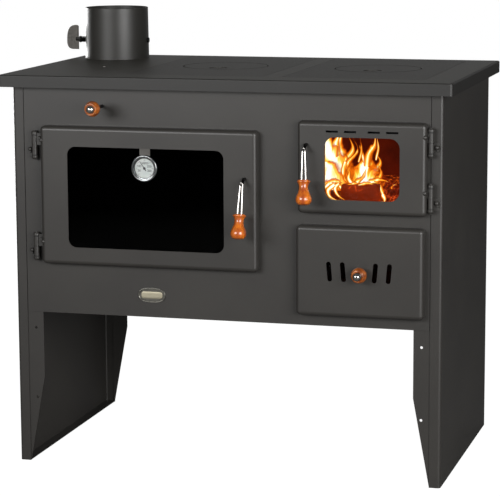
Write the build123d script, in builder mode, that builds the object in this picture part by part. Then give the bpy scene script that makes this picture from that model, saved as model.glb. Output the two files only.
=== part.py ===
from build123d import *
import os
from math import cos, pi, radians, sin, sqrt
from typing import NamedTuple

# A wood-fired cookstove: sheet-metal body on panel legs, oven on the left, firebox and ash
# drawer on the right, two cast hob plates on top and a flue collar at the back left.
# Millimetres. +X is to the right as seen from the front, +Y to the back, +Z up.

# ---------------------------------------------------------------- casing
SHEET = 2.0                  # folded casing sheet
LEG_HEIGHT = 313.0           # floor to the underside of the body
BODY_DEPTH = 530.0           # side panels, front to back
FRONT_FOLD = 22.5            # front and rear folds of a side panel, seen edge to seam
BEND_RADIUS = 6.0            # outside of a side panel's folded corners
SEAM = 1.4                   # open seam between fold and front or rear panel
LEG_FLANGE = 33.0            # recessed flange of a leg, from the seam inwards
UPPER_FLANGE = 10.0          # the same flange behind the front panel
TAPER_HEIGHT = 177.0         # floor to where the leg flange starts to narrow
FOOT_FOLD = 22.0             # inward fold that stands on the floor
LEG_HOLE_DIAMETER = 5.6
LEG_HOLE_INSET = 17.0        # seam to hole centre
LEG_HOLE_LOW = 134.0
LEG_HOLE_HIGH = 279.0
RETURN_DEPTH = 15.0          # lower fold of the front panel

# ---------------------------------------------------------------- doors and drawer, on the front
DOOR_DEPTH = 21.0            # depth of a pressed door pan
DOOR_STANDOFF = 1.0          # pan rim to front panel
DOOR_CORNER = 9.0
PRESS_RADIUS = 8.5           # rolled edge of a pressed front
DOOR_LAP = 12.0              # how far a door covers the panel round its opening

LEFT_MARGIN = 64.0           # body side to oven door
OVEN_DOOR_WIDTH = 449.0
DOOR_SPACING = 81.0          # oven door to fire door
FIRE_DOOR_WIDTH = 253.5
RIGHT_MARGIN = 28.5          # fire door to body side
FIRE_TOP_MARGIN = 53.5       # apron to fire door
FIRE_DOOR_HEIGHT = 179.5
DRAWER_SPACING = 24.0        # fire door to drawer front
DRAWER_HEIGHT = 178.0
DRAWER_WIDTH = 253.0
DRAWER_SHIFT = 4.0           # drawer front's right side to fire door's right side
DRAWER_MARGIN = 23.0         # drawer front to the body's underside
OVEN_TOP_MARGIN = 76.0
OVEN_DOOR_HEIGHT = 279.0

OVEN_STILE_LEFT = 58.0       # oven door edge to window
OVEN_STILE_RIGHT = 67.0
OVEN_RAIL_LOW = 36.0
OVEN_RAIL_HIGH = 40.0
OVEN_WINDOW_CORNER = 17.0
FIRE_STILE_LEFT = 54.0
FIRE_STILE_RIGHT = 51.5
FIRE_RAIL_LOW = 28.0
FIRE_RAIL_HIGH = 30.0
FIRE_WINDOW_CORNER = 20.0

AIR_SLOT_WIDTH = 24.0        # four level slots over the fire window
AIR_SLOT_HEIGHT = 4.0
AIR_SLOT_DROP = 19.0         # fire door's top edge to slot centre
AIR_SLOT_PITCH = 36.0        # within a pair
AIR_PAIR_SPACING = 82.5      # pair centre to pair centre
DRAWER_SLOT_HEIGHT = 39.0    # four upright slots in the drawer front
DRAWER_SLOT_WIDTH = 9.5
DRAWER_SLOT_PITCH = 27.5     # within a pair
DRAWER_PAIR_SPACING = 90.7
DRAWER_SLOT_DROP = 88.5      # drawer front's top edge to slot centre
DRAWER_SLOT_LEAN = 5.0       # degrees, tops lean outwards

# ---------------------------------------------------------------- what a door is made of
LINER_SHEET = 1.5
LINER_BACK = 3.5             # liner's back face in front of the panel
DOOR_GLASS = 4.0
TAPE = 1.5                   # sealing tape between pan and glass
GLASS_LAP = 8.0              # glass beyond the window all round
REVEAL_GAP = 2.0             # window edge to the reveal that holds the glass
TAPE_INSET = 1.0             # window edge to the tape
SEAL_WIDTH = 8.0             # rope seal pressed flat on the liner's back
SEAL_INSET = 1.0             # liner edge to the rope seal
SEAL_CLEARANCE = 0.3         # seal to front panel while the door is shut
REST_GAP = 0.3               # between pieces that part when something moves
RUNNING_GAP = 0.08           # radial, shafts and pins
STUD_RADIUS = 4.0
STUD_THREAD_RADIUS = 2.0
STUD_NUT_RADIUS = 3.5
STUD_NUT_HEIGHT = 1.8
STUD_OFFSET = 16.0           # window edge to stud centre
STUD_SPREAD = 0.62           # share of the window's height between two studs
SCREW_HOLE_GAP = 0.1

# ---------------------------------------------------------------- hinges
HINGE_LENGTH = 58.0          # both barrels with their finials
HINGE_RADIUS = 5.5
HINGE_PIN_RADIUS = 3.0
HINGE_STANDOFF = 10.0        # pin centre in front of the panel
HINGE_LEAF = 3.0
FINIAL = 4.5
FINIAL_RADIUS = 4.6
FINIAL_TAPER = 18.0          # degrees
RIVET_RADIUS = 3.6
RIVET_HEIGHT = 2.4
RIVET_TAPER = 25.0           # degrees
RIVET_EDGE = 1.0             # rivet to the fixed leaf's outer edge
RIVET_AT = 0.6               # share of a knuckle's length, from the hinge's middle
OVEN_HINGE_REACH = 15.0      # door edge to pin centre
FIRE_HINGE_REACH = 7.0
FIXED_LEAF_WIDTH = 17.0
OVEN_HINGE_DROP = 40.0       # door's top edge to the upper hinge's centre
OVEN_HINGE_LIFT = 34.0       # door's lower edge to the lower hinge's centre
FIRE_HINGE_DROP = 37.5
FIRE_HINGE_LIFT = 35.0

# ---------------------------------------------------------------- latch handles
LATCH_ROD_RADIUS = 3.5
SHANK_RADIUS = 3.0
OVEN_LATCH_INSET = 24.6      # door's free edge to latch centre
OVEN_LATCH_DROP = 94.0       # door's top edge to latch centre
FIRE_LATCH_INSET = 18.3
FIRE_LATCH_DROP = 45.5
SHANK_REACH = 22.0           # door face to the shank's tip
SHANK_DROP = 8.0             # latch centre to the shank's tip
SHANK_STRAIGHT = 7.0         # door face to the shank's bend
SHANK_HEAD = 1.4
HANDLE_LEAN = 14.5           # degrees, the grip hangs out from the door
OVEN_HANDLE_SWAY = 0.0       # degrees to the right
FIRE_HANDLE_SWAY = 3.5
WIRE_RADIUS = 1.4
WIRE_LOOP = 3.2              # radius of the bend at the top of the wire
WIRE_PLAY = 0.1
WIRE_SPREAD = 4.6            # half the distance between the legs at the grip
WIRE_LENGTH = 59.0           # shank tip to grip
GRIP_LENGTH = 48.0
GRIP_RIM_RADIUS = 12.6
GRIP_NECK_RADIUS = 10.4
GRIP_BULB_RADIUS = 15.5
GRIP_RIM_HEIGHT = 4.0
GRIP_BULB_AT = 34.0          # grip's top to the middle of the bulb
GRIP_NECK_LIFT = 4.0         # neck above the half-way line between bulb and rim
GRIP_BULB_TURN = 35.0        # degrees of round bulb above its middle
GRIP_RIM_UNDERCUT = 0.8      # rim's radius to its lower edge
GRIP_RIM_TUCK = 1.4          # rim's radius to its upper edge
GRIP_RIM_SWELL = 0.45        # share of the rim's height where it is widest
CAM_THICKNESS = 3.0
CAM_WIDTH = 11.0
CAM_CLEARANCE = 2.0          # cam to the opening's edge

# ---------------------------------------------------------------- thermometer
DIAL_CASE_RADIUS = 27.0
DIAL_CASE_DEPTH = 7.2
DIAL_CASE_WALL = 2.6
DIAL_CASE_ROUND = 1.5
DIAL_BACK = 1.5
DIAL_PLATE = 1.0
DIAL_GLASS = 1.0
DIAL_GLASS_INSET = 1.2
DIAL_DROP = 39.0             # window's top edge to dial centre
STRAP_WIDTH = 21.6
STRAP_THICKNESS = 1.0
STRAP_TUCK = 7.0             # strap behind the door pan's sheet
NEEDLE_LENGTH = 18.0
NEEDLE_TAIL = 6.0
NEEDLE_WIDTH = 1.8
NEEDLE_TIP_WIDTH = 0.5
NEEDLE_THICKNESS = 0.8
NEEDLE_HUB_RADIUS = 2.6
NEEDLE_SHAFT_RADIUS = 0.8
NEEDLE_REST = 35.0           # degrees to the left of upright

# ---------------------------------------------------------------- knobs, bypass and badge
KNOB_RADIUS = 15.5
KNOB_NECK_RADIUS = 7.5
KNOB_NECK_STEP = 1.0         # neck behind the ball
CAP_SCREW_SEAT = 1.0         # knob's front to the seat of the screw's head
CAP_SCREW_RADIUS = 5.6
CAP_SCREW_HEIGHT = 3.4
CAP_SCREW_ROUND = 2.7
KNOB_SCREW_RADIUS = 2.5
DRAWER_KNOB_REACH = 28.0     # drawer face to knob centre
DRAWER_KNOB_DROP = 90.0      # drawer front's top edge to knob centre
DRAWER_KNOB_SHIFT = 4.7      # knob right of the drawer front's middle
BYPASS_INSET = 190.0         # body side to bypass rod
BYPASS_DROP = 36.0           # apron to bypass rod
BYPASS_KNOB_REACH = 60.0     # front panel to knob centre
BYPASS_ROD_RADIUS = 3.5
BYPASS_BUSH_RADIUS = 8.0
BYPASS_BUSH_LENGTH = 12.0
BYPASS_GUIDE_AT = 200.0      # front panel to the rear guide
BYPASS_PUSH = 30.0
BYPASS_PULL = 80.0
SHUTTER_BACK_GAP = 26.0      # shutter pushed right in, to the rear panel's flanges
SHUTTER_LENGTH = 140.0
SHUTTER_HEIGHT = 60.0
SHUTTER_LUG = 12.0
SHUTTER_LUG_RADIUS = 7.0
BAFFLE_OFFSET = 14.0         # rod centre to the baffle's near face
PORT_LENGTH = 118.0
PORT_HEIGHT = 44.0
BADGE_WIDTH = 57.0
BADGE_HEIGHT = 30.0
BADGE_THICKNESS = 2.2
BADGE_RIM = 2.6
BADGE_RECESS = 0.9
BADGE_FROM_DOOR = 225.0      # oven door's left edge to badge centre
BADGE_DROP = 58.0            # oven door's lower edge to badge centre

# ---------------------------------------------------------------- hob
APRON_HEIGHT = 24.0
APRON_WALL = 3.0
TOP_OVERHANG_SIDE = 22.0
TOP_OVERHANG_FRONT = 25.0
TOP_OVERHANG_BACK = 5.0
APRON_EDGE_RADIUS = 2.6
APRON_CORNER_RADIUS = 7.0
TOP_PLATE_THICKNESS = 4.0
TOP_PLATE_GAP = 1.4          # dark line inside the apron's edge
LEDGE_WIDTH = 12.0
LEDGE_THICKNESS = 3.0
HOB_PLATE_WIDTH = 284.0
HOB_PLATE_RIGHT = 68.0       # top's right edge to right hob plate
HOB_PLATE_SPACING = 40.0
HOB_PLATE_FRONT = 75.0       # top's front edge to the hob plates
HOB_PLATE_BACK = 20.0        # top's back edge to the hob plates
HOB_PLATE_BODY = 5.0         # casting below the rim
HOB_PLATE_CORNER = 6.0
PLATE_GAP = 0.8
SEAT_LAP = 10.0
LID_RADIUS = 87.0
LID_GAP = 2.0                # open ring round a lid
LID_EDGE_RADIUS = 1.2        # on the lid and on the hole that it fills
LID_LAP = 9.0
LID_BOSS_DEPTH = 4.0
LID_DISH_RADIUS = 19.0
LID_DISH_DEPTH = 1.2
LID_DISH_OFFSET = 55.0       # lid centre to lifting dish, towards the front
LID_HOLE_RADIUS = 5.0
LID_HOLE_DEPTH = 4.0

# ---------------------------------------------------------------- flue
FLUE_DIAMETER = 136.0
FLUE_WALL = 2.0
FLUE_HEIGHT = 110.0          # above the hob
FLUE_INSET_SIDE = 70.0       # body side to flue centre
FLUE_INSET_BACK = 85.0       # back of the body to flue centre
FLUE_FLANGE = 7.0
FLUE_GAP = 0.3
STOP_LINE = 52.0             # hob to the shallow line that marks how far a pipe slides on
STOP_LINE_WIDTH = 2.0
STOP_LINE_DEPTH = 0.4
STOP_STEP = 1.5              # collar below the line, proud of the part above it
DAMPER_HEIGHT = 39.0         # hob to damper spindle
DAMPER_SPINDLE_RADIUS = 4.0
DAMPER_DISC_GAP = 2.0
DAMPER_DISC_THICKNESS = 2.0
DAMPER_SLEEVE_RADIUS = 6.0
DAMPER_LEAF_WIDTH = 27.0
DAMPER_LEAF_UP = 31.0
DAMPER_LEAF_DOWN = 22.0
DAMPER_LEAF_THICKNESS = 2.0
LEAF_SHOULDER = 0.85         # share of the upper part that is straight
LEAF_CROWN = 0.22            # share of the width from root to highest point
LEAF_TIP_DROP = 0.2          # share of the lower part from spindle to tip
LEAF_HEEL = 0.45             # share of the width that is flat below
DAMPER_SHANK = 21.0          # collar to leaf
DAMPER_SHANK_LAP = 6.0       # spindle over the leaf
DAMPER_NUT_RADIUS = 5.5
DAMPER_NUT_LENGTH = 3.0
SPRING_RADIUS = 5.6          # to the middle of the wire
SPRING_WIRE = 1.6
SPRING_PITCH = 3.0
SPRING_TURN_COUNT = 4
SPRING_COLLAR_RADIUS = 7.0
SPRING_COLLAR_LENGTH = 3.0

# ---------------------------------------------------------------- oven, firebox and ash pan
OVEN_DEPTH = 440.0
OVEN_SHEET = 1.5
RIB_WIDTH = 6.0
RIB_HEIGHT = 2.0
RIB_LENGTH = 380.0
RIB_START = 30.0
RIB_LEVELS = (72.0, 132.0, 192.0)
RACK_LEVEL = 1               # which pair of ribs carries the rack
RACK_THICKNESS = 5.0
RACK_BAR = 5.0
RACK_GAP_COUNT = 17
RACK_CLEARANCE = 2.0
FLUEWAY_DROP = 30.0          # oven's underside to the flue-way floor
FIREBOX_SHEET = 3.0
FIREBOX_BACK_GAP = 30.0      # firebox to the back of the body
FIREBOX_SIDE = 24.0          # fire opening to the shell's left wall, and brick thickness
FIREBOX_RIGHT_GAP = 1.0      # fire opening to the shell's right wall
SMOKE_EXIT_FRONT = 60.0
SMOKE_EXIT_BACK = 60.0       # behind it, to the firebox's back
SMOKE_EXIT_HEIGHT = 50.0
SHELF_DROP = 19.0            # fire opening's lower edge to the shelf's underside
BRICK_HEIGHT = 169.0
BRICK_JOINT = 0.5
GRATE_WIDTH = 150.0
GRATE_END = 85.0             # shelf in front of and behind the grate
GRATE_THICKNESS = 12.0
GRATE_LAP = 10.0
GRATE_PLAY = 0.5             # grate to shelf all round
GRATE_BAR_COUNT = 9
GRATE_SLOT = 8.0
ASH_PAN_SHEET = 1.5
ASH_PAN_BACK_GAP = 100.0     # ash pan to the firebox's back
ASH_PAN_HEIGHT = 50.0
ASH_PAN_SIDE = 8.0           # opening's edge to the pan's wall
ASH_PAN_LIFT = 4.0           # opening's lower edge to the pan
ASH_RAIL_WIDTH = 18.0
ASH_RAIL_BACK_GAP = 80.0     # rails to the firebox's back
DRAWER_TRAVEL = 300.0

# ---------------------------------------------------------------- casing screws
SCREW_RADIUS = 2.0
SCREW_HEAD_RADIUS = 4.0
SCREW_HEAD_HEIGHT = 2.2
SCREW_LENGTH = 6.0
SCREW_INSET = 27.5           # body side to the rear screws
REAR_SCREW_HEIGHTS = (24.0, 165.0, 305.0, 440.0)
TOP_SCREW_INSET = 123.0      # body side to the screw in the hob top
TOP_SCREW_FROM_FRONT = 206.0


class Area(NamedTuple):
    """A rectangle between two lines each way."""

    left: float
    right: float
    low: float
    high: float

    def grown(self, by):
        return Area(self.left - by, self.right + by, self.low - by, self.high + by)


# ---------------------------------------------------------------- sizes that follow
body_width = LEFT_MARGIN + OVEN_DOOR_WIDTH + DOOR_SPACING + FIRE_DOOR_WIDTH + RIGHT_MARGIN
half_width = body_width / 2
front_height = FIRE_TOP_MARGIN + FIRE_DOOR_HEIGHT + DRAWER_SPACING + DRAWER_HEIGHT + DRAWER_MARGIN
body_top = LEG_HEIGHT + front_height
hob_height = body_top + APRON_HEIGHT
seam_at = half_width - FRONT_FOLD
base_height = LEG_HEIGHT + 2 * SHEET

fire_right = half_width - RIGHT_MARGIN
fire_top = body_top - FIRE_TOP_MARGIN
fire_door = Area(fire_right - FIRE_DOOR_WIDTH, fire_right, fire_top - FIRE_DOOR_HEIGHT, fire_top)
oven_left = LEFT_MARGIN - half_width
oven_top = body_top - OVEN_TOP_MARGIN
oven_door = Area(oven_left, oven_left + OVEN_DOOR_WIDTH, oven_top - OVEN_DOOR_HEIGHT, oven_top)
drawer_right = fire_right - DRAWER_SHIFT
drawer_top = fire_door.low - DRAWER_SPACING
drawer = Area(drawer_right - DRAWER_WIDTH, drawer_right, drawer_top - DRAWER_HEIGHT, drawer_top)

oven_window = Area(
    oven_door.left + OVEN_STILE_LEFT,
    oven_door.right - OVEN_STILE_RIGHT,
    oven_door.low + OVEN_RAIL_LOW,
    oven_door.high - OVEN_RAIL_HIGH,
)
fire_window = Area(
    fire_door.left + FIRE_STILE_LEFT,
    fire_door.right - FIRE_STILE_RIGHT,
    fire_door.low + FIRE_RAIL_LOW,
    fire_door.high - FIRE_RAIL_HIGH,
)
oven_opening = oven_door.grown(-DOOR_LAP)
fire_opening = fire_door.grown(-DOOR_LAP)
drawer_opening = drawer.grown(-DOOR_LAP)

door_face = DOOR_STANDOFF + DOOR_DEPTH          # in front of the front panel
glass_front = door_face - SHEET - TAPE
glass_back = glass_front - DOOR_GLASS

half_top = half_width + TOP_OVERHANG_SIDE
hob_area = Area(-half_top, half_top, -TOP_OVERHANG_FRONT, BODY_DEPTH + TOP_OVERHANG_BACK)
plate_front = hob_area.low + HOB_PLATE_FRONT
plate_back = hob_area.high - HOB_PLATE_BACK
right_plate_edge = hob_area.right - HOB_PLATE_RIGHT
right_plate = Area(right_plate_edge - HOB_PLATE_WIDTH, right_plate_edge, plate_front, plate_back)
left_plate_edge = right_plate.left - HOB_PLATE_SPACING
left_plate = Area(left_plate_edge - HOB_PLATE_WIDTH, left_plate_edge, plate_front, plate_back)
ledge_top = hob_height - TOP_PLATE_THICKNESS
ledge_low = ledge_top - LEDGE_THICKNESS
plate_low = ledge_top - HOB_PLATE_BODY

flue_x = FLUE_INSET_SIDE - half_width
flue_y = BODY_DEPTH - FLUE_INSET_BACK
flue_radius = FLUE_DIAMETER / 2
collar_radius = flue_radius + STOP_STEP
damper_z = hob_height + DAMPER_HEIGHT
leaf_root = flue_x - flue_radius - DAMPER_SHANK
leaf_tip = leaf_root - DAMPER_LEAF_WIDTH

shank_tip_out = door_face + SHANK_REACH
front_reach = shank_tip_out + (WIRE_LENGTH + GRIP_BULB_AT) * sin(radians(HANDLE_LEAN)) + GRIP_BULB_RADIUS

# The origin is on the floor under the middle of the whole stove, so the body's own middle
# and front lie a little off it: the damper handle and the door handles reach out further.
BODY_X = -(leaf_tip + half_top) / 2
FRONT_Y = (front_reach - hob_area.high) / 2

FLOOR = Plane((BODY_X, FRONT_Y, 0), x_dir=(1, 0, 0), z_dir=(0, 0, 1))     # (x, y) seen from above
FRONT = Plane((BODY_X, FRONT_Y, 0), x_dir=(1, 0, 0), z_dir=(0, -1, 0))    # (x, z), offsets go forward
SIDE = Plane((BODY_X, FRONT_Y, 0), x_dir=(0, 1, 0), z_dir=(1, 0, 0))      # (y, z), offsets go right


def plate(area, corner=0.0, mode=Mode.ADD):
    """A rectangle over an area, with round corners where a radius is given."""
    width = area.right - area.left
    height = area.high - area.low
    with Locations(((area.left + area.right) / 2, (area.low + area.high) / 2)):
        if corner > 0:
            RectangleRounded(width, height, corner, mode=mode)
        else:
            Rectangle(width, height, mode=mode)


def ring(outer, inner, corner=0.0):
    """A rectangular frame between two areas."""
    plate(outer, corner)
    plate(inner, max(corner - (inner.left - outer.left), 0.0), Mode.SUBTRACT)


def middle(area):
    """The centre of an area."""
    return ((area.left + area.right) / 2, (area.low + area.high) / 2)


def both_sides(x, heights):
    """The same spots on the left and on the right."""
    return [(side * x, z) for side in (-1, 1) for z in heights]


leg_holes = both_sides(seam_at - LEG_HOLE_INSET, (LEG_HOLE_LOW, LEG_HOLE_HIGH))
rear_screws = both_sides(half_width - SCREW_INSET, [LEG_HEIGHT + z for z in REAR_SCREW_HEIGHTS])


def upright_edges(piece, x, y):
    """The upright edges that stand over one spot of the plan."""
    spot = FLOOR.from_local_coords((x, y))
    return [
        edge
        for edge in piece.edges().filter_by(Axis.Z)
        if (edge.center() - spot - (0, 0, edge.center().Z)).length < REST_GAP
    ]


# ================================================================ casing
def make_side_panel(hand):
    """One sheet from floor to hob, folded at front, back and foot; hand is 1 right, -1 left."""
    flange_outline = [
        (hand * (seam_at + SHEET), 0),
        (hand * (seam_at + SHEET), body_top),
        (hand * (seam_at - UPPER_FLANGE), body_top),
        (hand * (seam_at - UPPER_FLANGE), base_height),
        (hand * (seam_at - LEG_FLANGE), base_height),
        (hand * (seam_at - LEG_FLANGE), TAPER_HEIGHT),
        (hand * seam_at, 0),
    ]
    with BuildPart() as panel:
        with BuildSketch(SIDE.offset(hand * half_width)):
            plate(Area(0, BODY_DEPTH, 0, body_top))
        extrude(amount=-hand * SHEET)
        fold = sorted((hand * seam_at, hand * half_width))
        for face_plane, inwards in ((FRONT, -1), (FRONT.offset(-BODY_DEPTH), 1)):
            with BuildSketch(face_plane):
                plate(Area(*fold, 0, body_top))
            extrude(amount=inwards * SHEET)
            with BuildSketch(face_plane.offset(inwards * SHEET)):
                Polygon(*flange_outline, align=None)
            extrude(amount=inwards * SHEET)
        with BuildSketch(FLOOR):
            plate(Area(*sorted((hand * half_width, hand * (half_width - FOOT_FOLD))), 0, BODY_DEPTH))
        extrude(amount=SHEET)
        with BuildSketch(FRONT):
            with Locations(*leg_holes):
                Circle(LEG_HOLE_DIAMETER / 2)
        extrude(amount=-3 * SHEET, mode=Mode.SUBTRACT)
        with BuildSketch(FRONT.offset(-BODY_DEPTH)):
            with Locations(*rear_screws):
                Circle(SCREW_RADIUS + SCREW_HOLE_GAP)
        extrude(amount=3 * SHEET, mode=Mode.SUBTRACT)
        for y, inwards in ((0, 1), (BODY_DEPTH, -1)):
            outside = upright_edges(panel, hand * half_width, y)
            fillet(outside, BEND_RADIUS)
            inside = upright_edges(panel, hand * (half_width - SHEET), y + inwards * SHEET)
            fillet(inside, BEND_RADIUS - SHEET)
    return panel


side_panel_right = make_side_panel(1)
side_panel_left = make_side_panel(-1)

bypass_x = BYPASS_INSET - half_width
bypass_z = body_top - BYPASS_DROP
panel_area = Area(SEAM - seam_at, seam_at - SEAM, LEG_HEIGHT, body_top)

with BuildPart() as front_panel:
    with BuildSketch(FRONT):
        plate(panel_area)
        plate(oven_opening, mode=Mode.SUBTRACT)
        plate(fire_opening, mode=Mode.SUBTRACT)
        plate(drawer_opening, mode=Mode.SUBTRACT)
        with Locations((bypass_x, bypass_z)):
            Circle(BYPASS_ROD_RADIUS + RUNNING_GAP, mode=Mode.SUBTRACT)
    extrude(amount=-SHEET)
    return_half = seam_at - LEG_FLANGE - SHEET
    with BuildSketch(FLOOR.offset(LEG_HEIGHT)):
        plate(Area(-return_half, return_half, 0, RETURN_DEPTH))
    extrude(amount=SHEET)

with BuildPart() as rear_panel:
    with BuildSketch(FRONT.offset(-BODY_DEPTH)):
        plate(panel_area)
        with Locations(*rear_screws):
            Circle(SCREW_RADIUS + SCREW_HOLE_GAP, mode=Mode.SUBTRACT)
    extrude(amount=SHEET)

floor_area = Area(SHEET - half_width, half_width - SHEET, 2 * SHEET, BODY_DEPTH - 2 * SHEET)
with BuildPart() as base_panel:
    with BuildSketch(FLOOR.offset(LEG_HEIGHT + SHEET)):
        plate(floor_area, BEND_RADIUS - SHEET)
    extrude(amount=SHEET)

with BuildPart() as casing_screws:
    with BuildSketch(FRONT.offset(-BODY_DEPTH)):
        with Locations(*rear_screws):
            Circle(SCREW_HEAD_RADIUS)
    extrude(amount=-SCREW_HEAD_HEIGHT)
    with BuildSketch(FRONT.offset(-BODY_DEPTH)):
        with Locations(*rear_screws):
            Circle(SCREW_RADIUS)
    extrude(amount=SCREW_LENGTH)
    heads = casing_screws.faces().filter_by(Axis.Y).group_by(Axis.Y)[-1]
    fillet(heads.edges(), SCREW_HEAD_HEIGHT / 2)
    top_screw_at = (TOP_SCREW_INSET - half_width, TOP_SCREW_FROM_FRONT)
    with BuildSketch(FLOOR.offset(hob_height)):
        with Locations(top_screw_at):
            Circle(SCREW_HEAD_RADIUS)
    extrude(amount=SCREW_HEAD_HEIGHT / 2)
    with BuildSketch(FLOOR.offset(hob_height)):
        with Locations(top_screw_at):
            Circle(SCREW_RADIUS)
    extrude(amount=-SCREW_LENGTH)

badge_at = (oven_door.left + BADGE_FROM_DOOR, oven_door.low - BADGE_DROP)
with BuildPart() as badge:
    with BuildSketch(FRONT):
        with Locations(badge_at):
            Ellipse(BADGE_WIDTH / 2, BADGE_HEIGHT / 2)
    extrude(amount=BADGE_THICKNESS)
    with BuildSketch(FRONT.offset(BADGE_THICKNESS)):
        with Locations(badge_at):
            Ellipse(BADGE_WIDTH / 2 - BADGE_RIM, BADGE_HEIGHT / 2 - BADGE_RIM)
    extrude(amount=-BADGE_RECESS, mode=Mode.SUBTRACT)

# ================================================================ hob
wall_inside = hob_area.grown(-APRON_WALL)
with BuildPart() as top_apron:
    with BuildSketch(FLOOR.offset(body_top)):
        ring(hob_area, wall_inside, APRON_CORNER_RADIUS)
    extrude(amount=APRON_HEIGHT)
    with BuildSketch(FLOOR.offset(body_top)):
        ring(wall_inside, Area(-half_width, half_width, 0, BODY_DEPTH).grown(-2 * SHEET))
    extrude(amount=SHEET)
    with BuildSketch(FLOOR.offset(ledge_low)):
        ring(wall_inside, wall_inside.grown(-LEDGE_WIDTH))
    extrude(amount=LEDGE_THICKNESS)
    rim = top_apron.faces().sort_by(Axis.Z)[-1].outer_wire()
    fillet(rim.edges(), APRON_EDGE_RADIUS)

with BuildPart() as top_plate:
    with BuildSketch(FLOOR.offset(ledge_top)):
        plate(wall_inside.grown(-TOP_PLATE_GAP), APRON_CORNER_RADIUS)
        for opening in (left_plate, right_plate):
            plate(opening.grown(PLATE_GAP), HOB_PLATE_CORNER + PLATE_GAP, Mode.SUBTRACT)
        with Locations((flue_x, flue_y)):
            Circle(collar_radius + FLUE_GAP, mode=Mode.SUBTRACT)
        with Locations(top_screw_at):
            Circle(SCREW_RADIUS + SCREW_HOLE_GAP, mode=Mode.SUBTRACT)
    extrude(amount=TOP_PLATE_THICKNESS)
    with BuildSketch(FLOOR.offset(ledge_low)):
        for opening in (left_plate, right_plate):
            ring(opening.grown(PLATE_GAP + LEDGE_THICKNESS), opening.grown(-SEAT_LAP))
    extrude(amount=LEDGE_THICKNESS)


def make_hob_plate(area):
    """A cast plate: a rim that lies on the seat, a thicker body inside it and a hole for the lid."""
    with BuildPart() as casting:
        with BuildSketch(FLOOR.offset(ledge_top + REST_GAP)):
            plate(area, HOB_PLATE_CORNER)
            with Locations(middle(area)):
                Circle(LID_RADIUS + LID_GAP, mode=Mode.SUBTRACT)
        extrude(amount=TOP_PLATE_THICKNESS - REST_GAP)
        with BuildSketch(FLOOR.offset(plate_low)):
            plate(area.grown(-SEAT_LAP - PLATE_GAP))
            with Locations(middle(area)):
                Circle(LID_RADIUS - LID_LAP, mode=Mode.SUBTRACT)
        extrude(amount=HOB_PLATE_BODY + REST_GAP)
        with BuildSketch(FLOOR.offset(ledge_top)):
            with Locations(middle(area)):
                Circle(LID_RADIUS + LID_GAP)
        extrude(amount=TOP_PLATE_THICKNESS, mode=Mode.SUBTRACT)
        rims = casting.faces().sort_by(Axis.Z)[-1].inner_wires()
        fillet(rims[0].edges(), LID_EDGE_RADIUS)
    return casting


def make_hob_lid(area):
    """A round lid with a boss below and a lifting dish with a hole for the lifter."""
    with BuildPart() as lid:
        with BuildSketch(FLOOR.offset(ledge_top + REST_GAP)):
            with Locations(middle(area)):
                Circle(LID_RADIUS)
        extrude(amount=TOP_PLATE_THICKNESS - REST_GAP)
        fillet(lid.faces().sort_by(Axis.Z)[-1].edges(), LID_EDGE_RADIUS)
        with BuildSketch(FLOOR.offset(ledge_top - LID_BOSS_DEPTH)):
            with Locations(middle(area)):
                Circle(LID_RADIUS - LID_LAP - PLATE_GAP)
        extrude(amount=LID_BOSS_DEPTH + REST_GAP)
        for radius, depth in ((LID_DISH_RADIUS, LID_DISH_DEPTH), (LID_HOLE_RADIUS, LID_HOLE_DEPTH)):
            with BuildSketch(FLOOR.offset(hob_height)):
                with Locations((middle(area)[0], middle(area)[1] - LID_DISH_OFFSET)):
                    Circle(radius)
            extrude(amount=-depth, mode=Mode.SUBTRACT)
    return lid


hob_plate_left = make_hob_plate(left_plate)
hob_plate_right = make_hob_plate(right_plate)
hob_lid_left = make_hob_lid(left_plate)
hob_lid_right = make_hob_lid(right_plate)

# ================================================================ flue and damper
with BuildPart() as flue_collar:
    with BuildSketch(FLOOR.offset(ledge_low)):
        with Locations((flue_x, flue_y)):
            Circle(collar_radius)
    extrude(amount=hob_height + STOP_LINE - ledge_low)
    with BuildSketch(FLOOR.offset(hob_height + STOP_LINE)):
        with Locations((flue_x, flue_y)):
            Circle(flue_radius)
    extrude(amount=FLUE_HEIGHT - STOP_LINE)
    with BuildSketch(FLOOR.offset(ledge_low)):
        with Locations((flue_x, flue_y)):
            Circle(flue_radius + FLUE_FLANGE)
    extrude(amount=LEDGE_THICKNESS)
    with BuildSketch(FLOOR.offset(hob_height + STOP_LINE)):
        with Locations((flue_x, flue_y)):
            Circle(flue_radius)
            Circle(flue_radius - STOP_LINE_DEPTH, mode=Mode.SUBTRACT)
    extrude(amount=STOP_LINE_WIDTH, mode=Mode.SUBTRACT)
    with BuildSketch(FLOOR.offset(ledge_low)):
        with Locations((flue_x, flue_y)):
            Circle(flue_radius - FLUE_WALL)
    extrude(amount=hob_height + FLUE_HEIGHT - ledge_low, mode=Mode.SUBTRACT)
    with BuildSketch(SIDE.offset(flue_x)):
        with Locations((flue_y, damper_z)):
            Circle(DAMPER_SPINDLE_RADIUS + RUNNING_GAP)
    extrude(amount=flue_radius + FLUE_WALL, both=True, mode=Mode.SUBTRACT)

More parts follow.
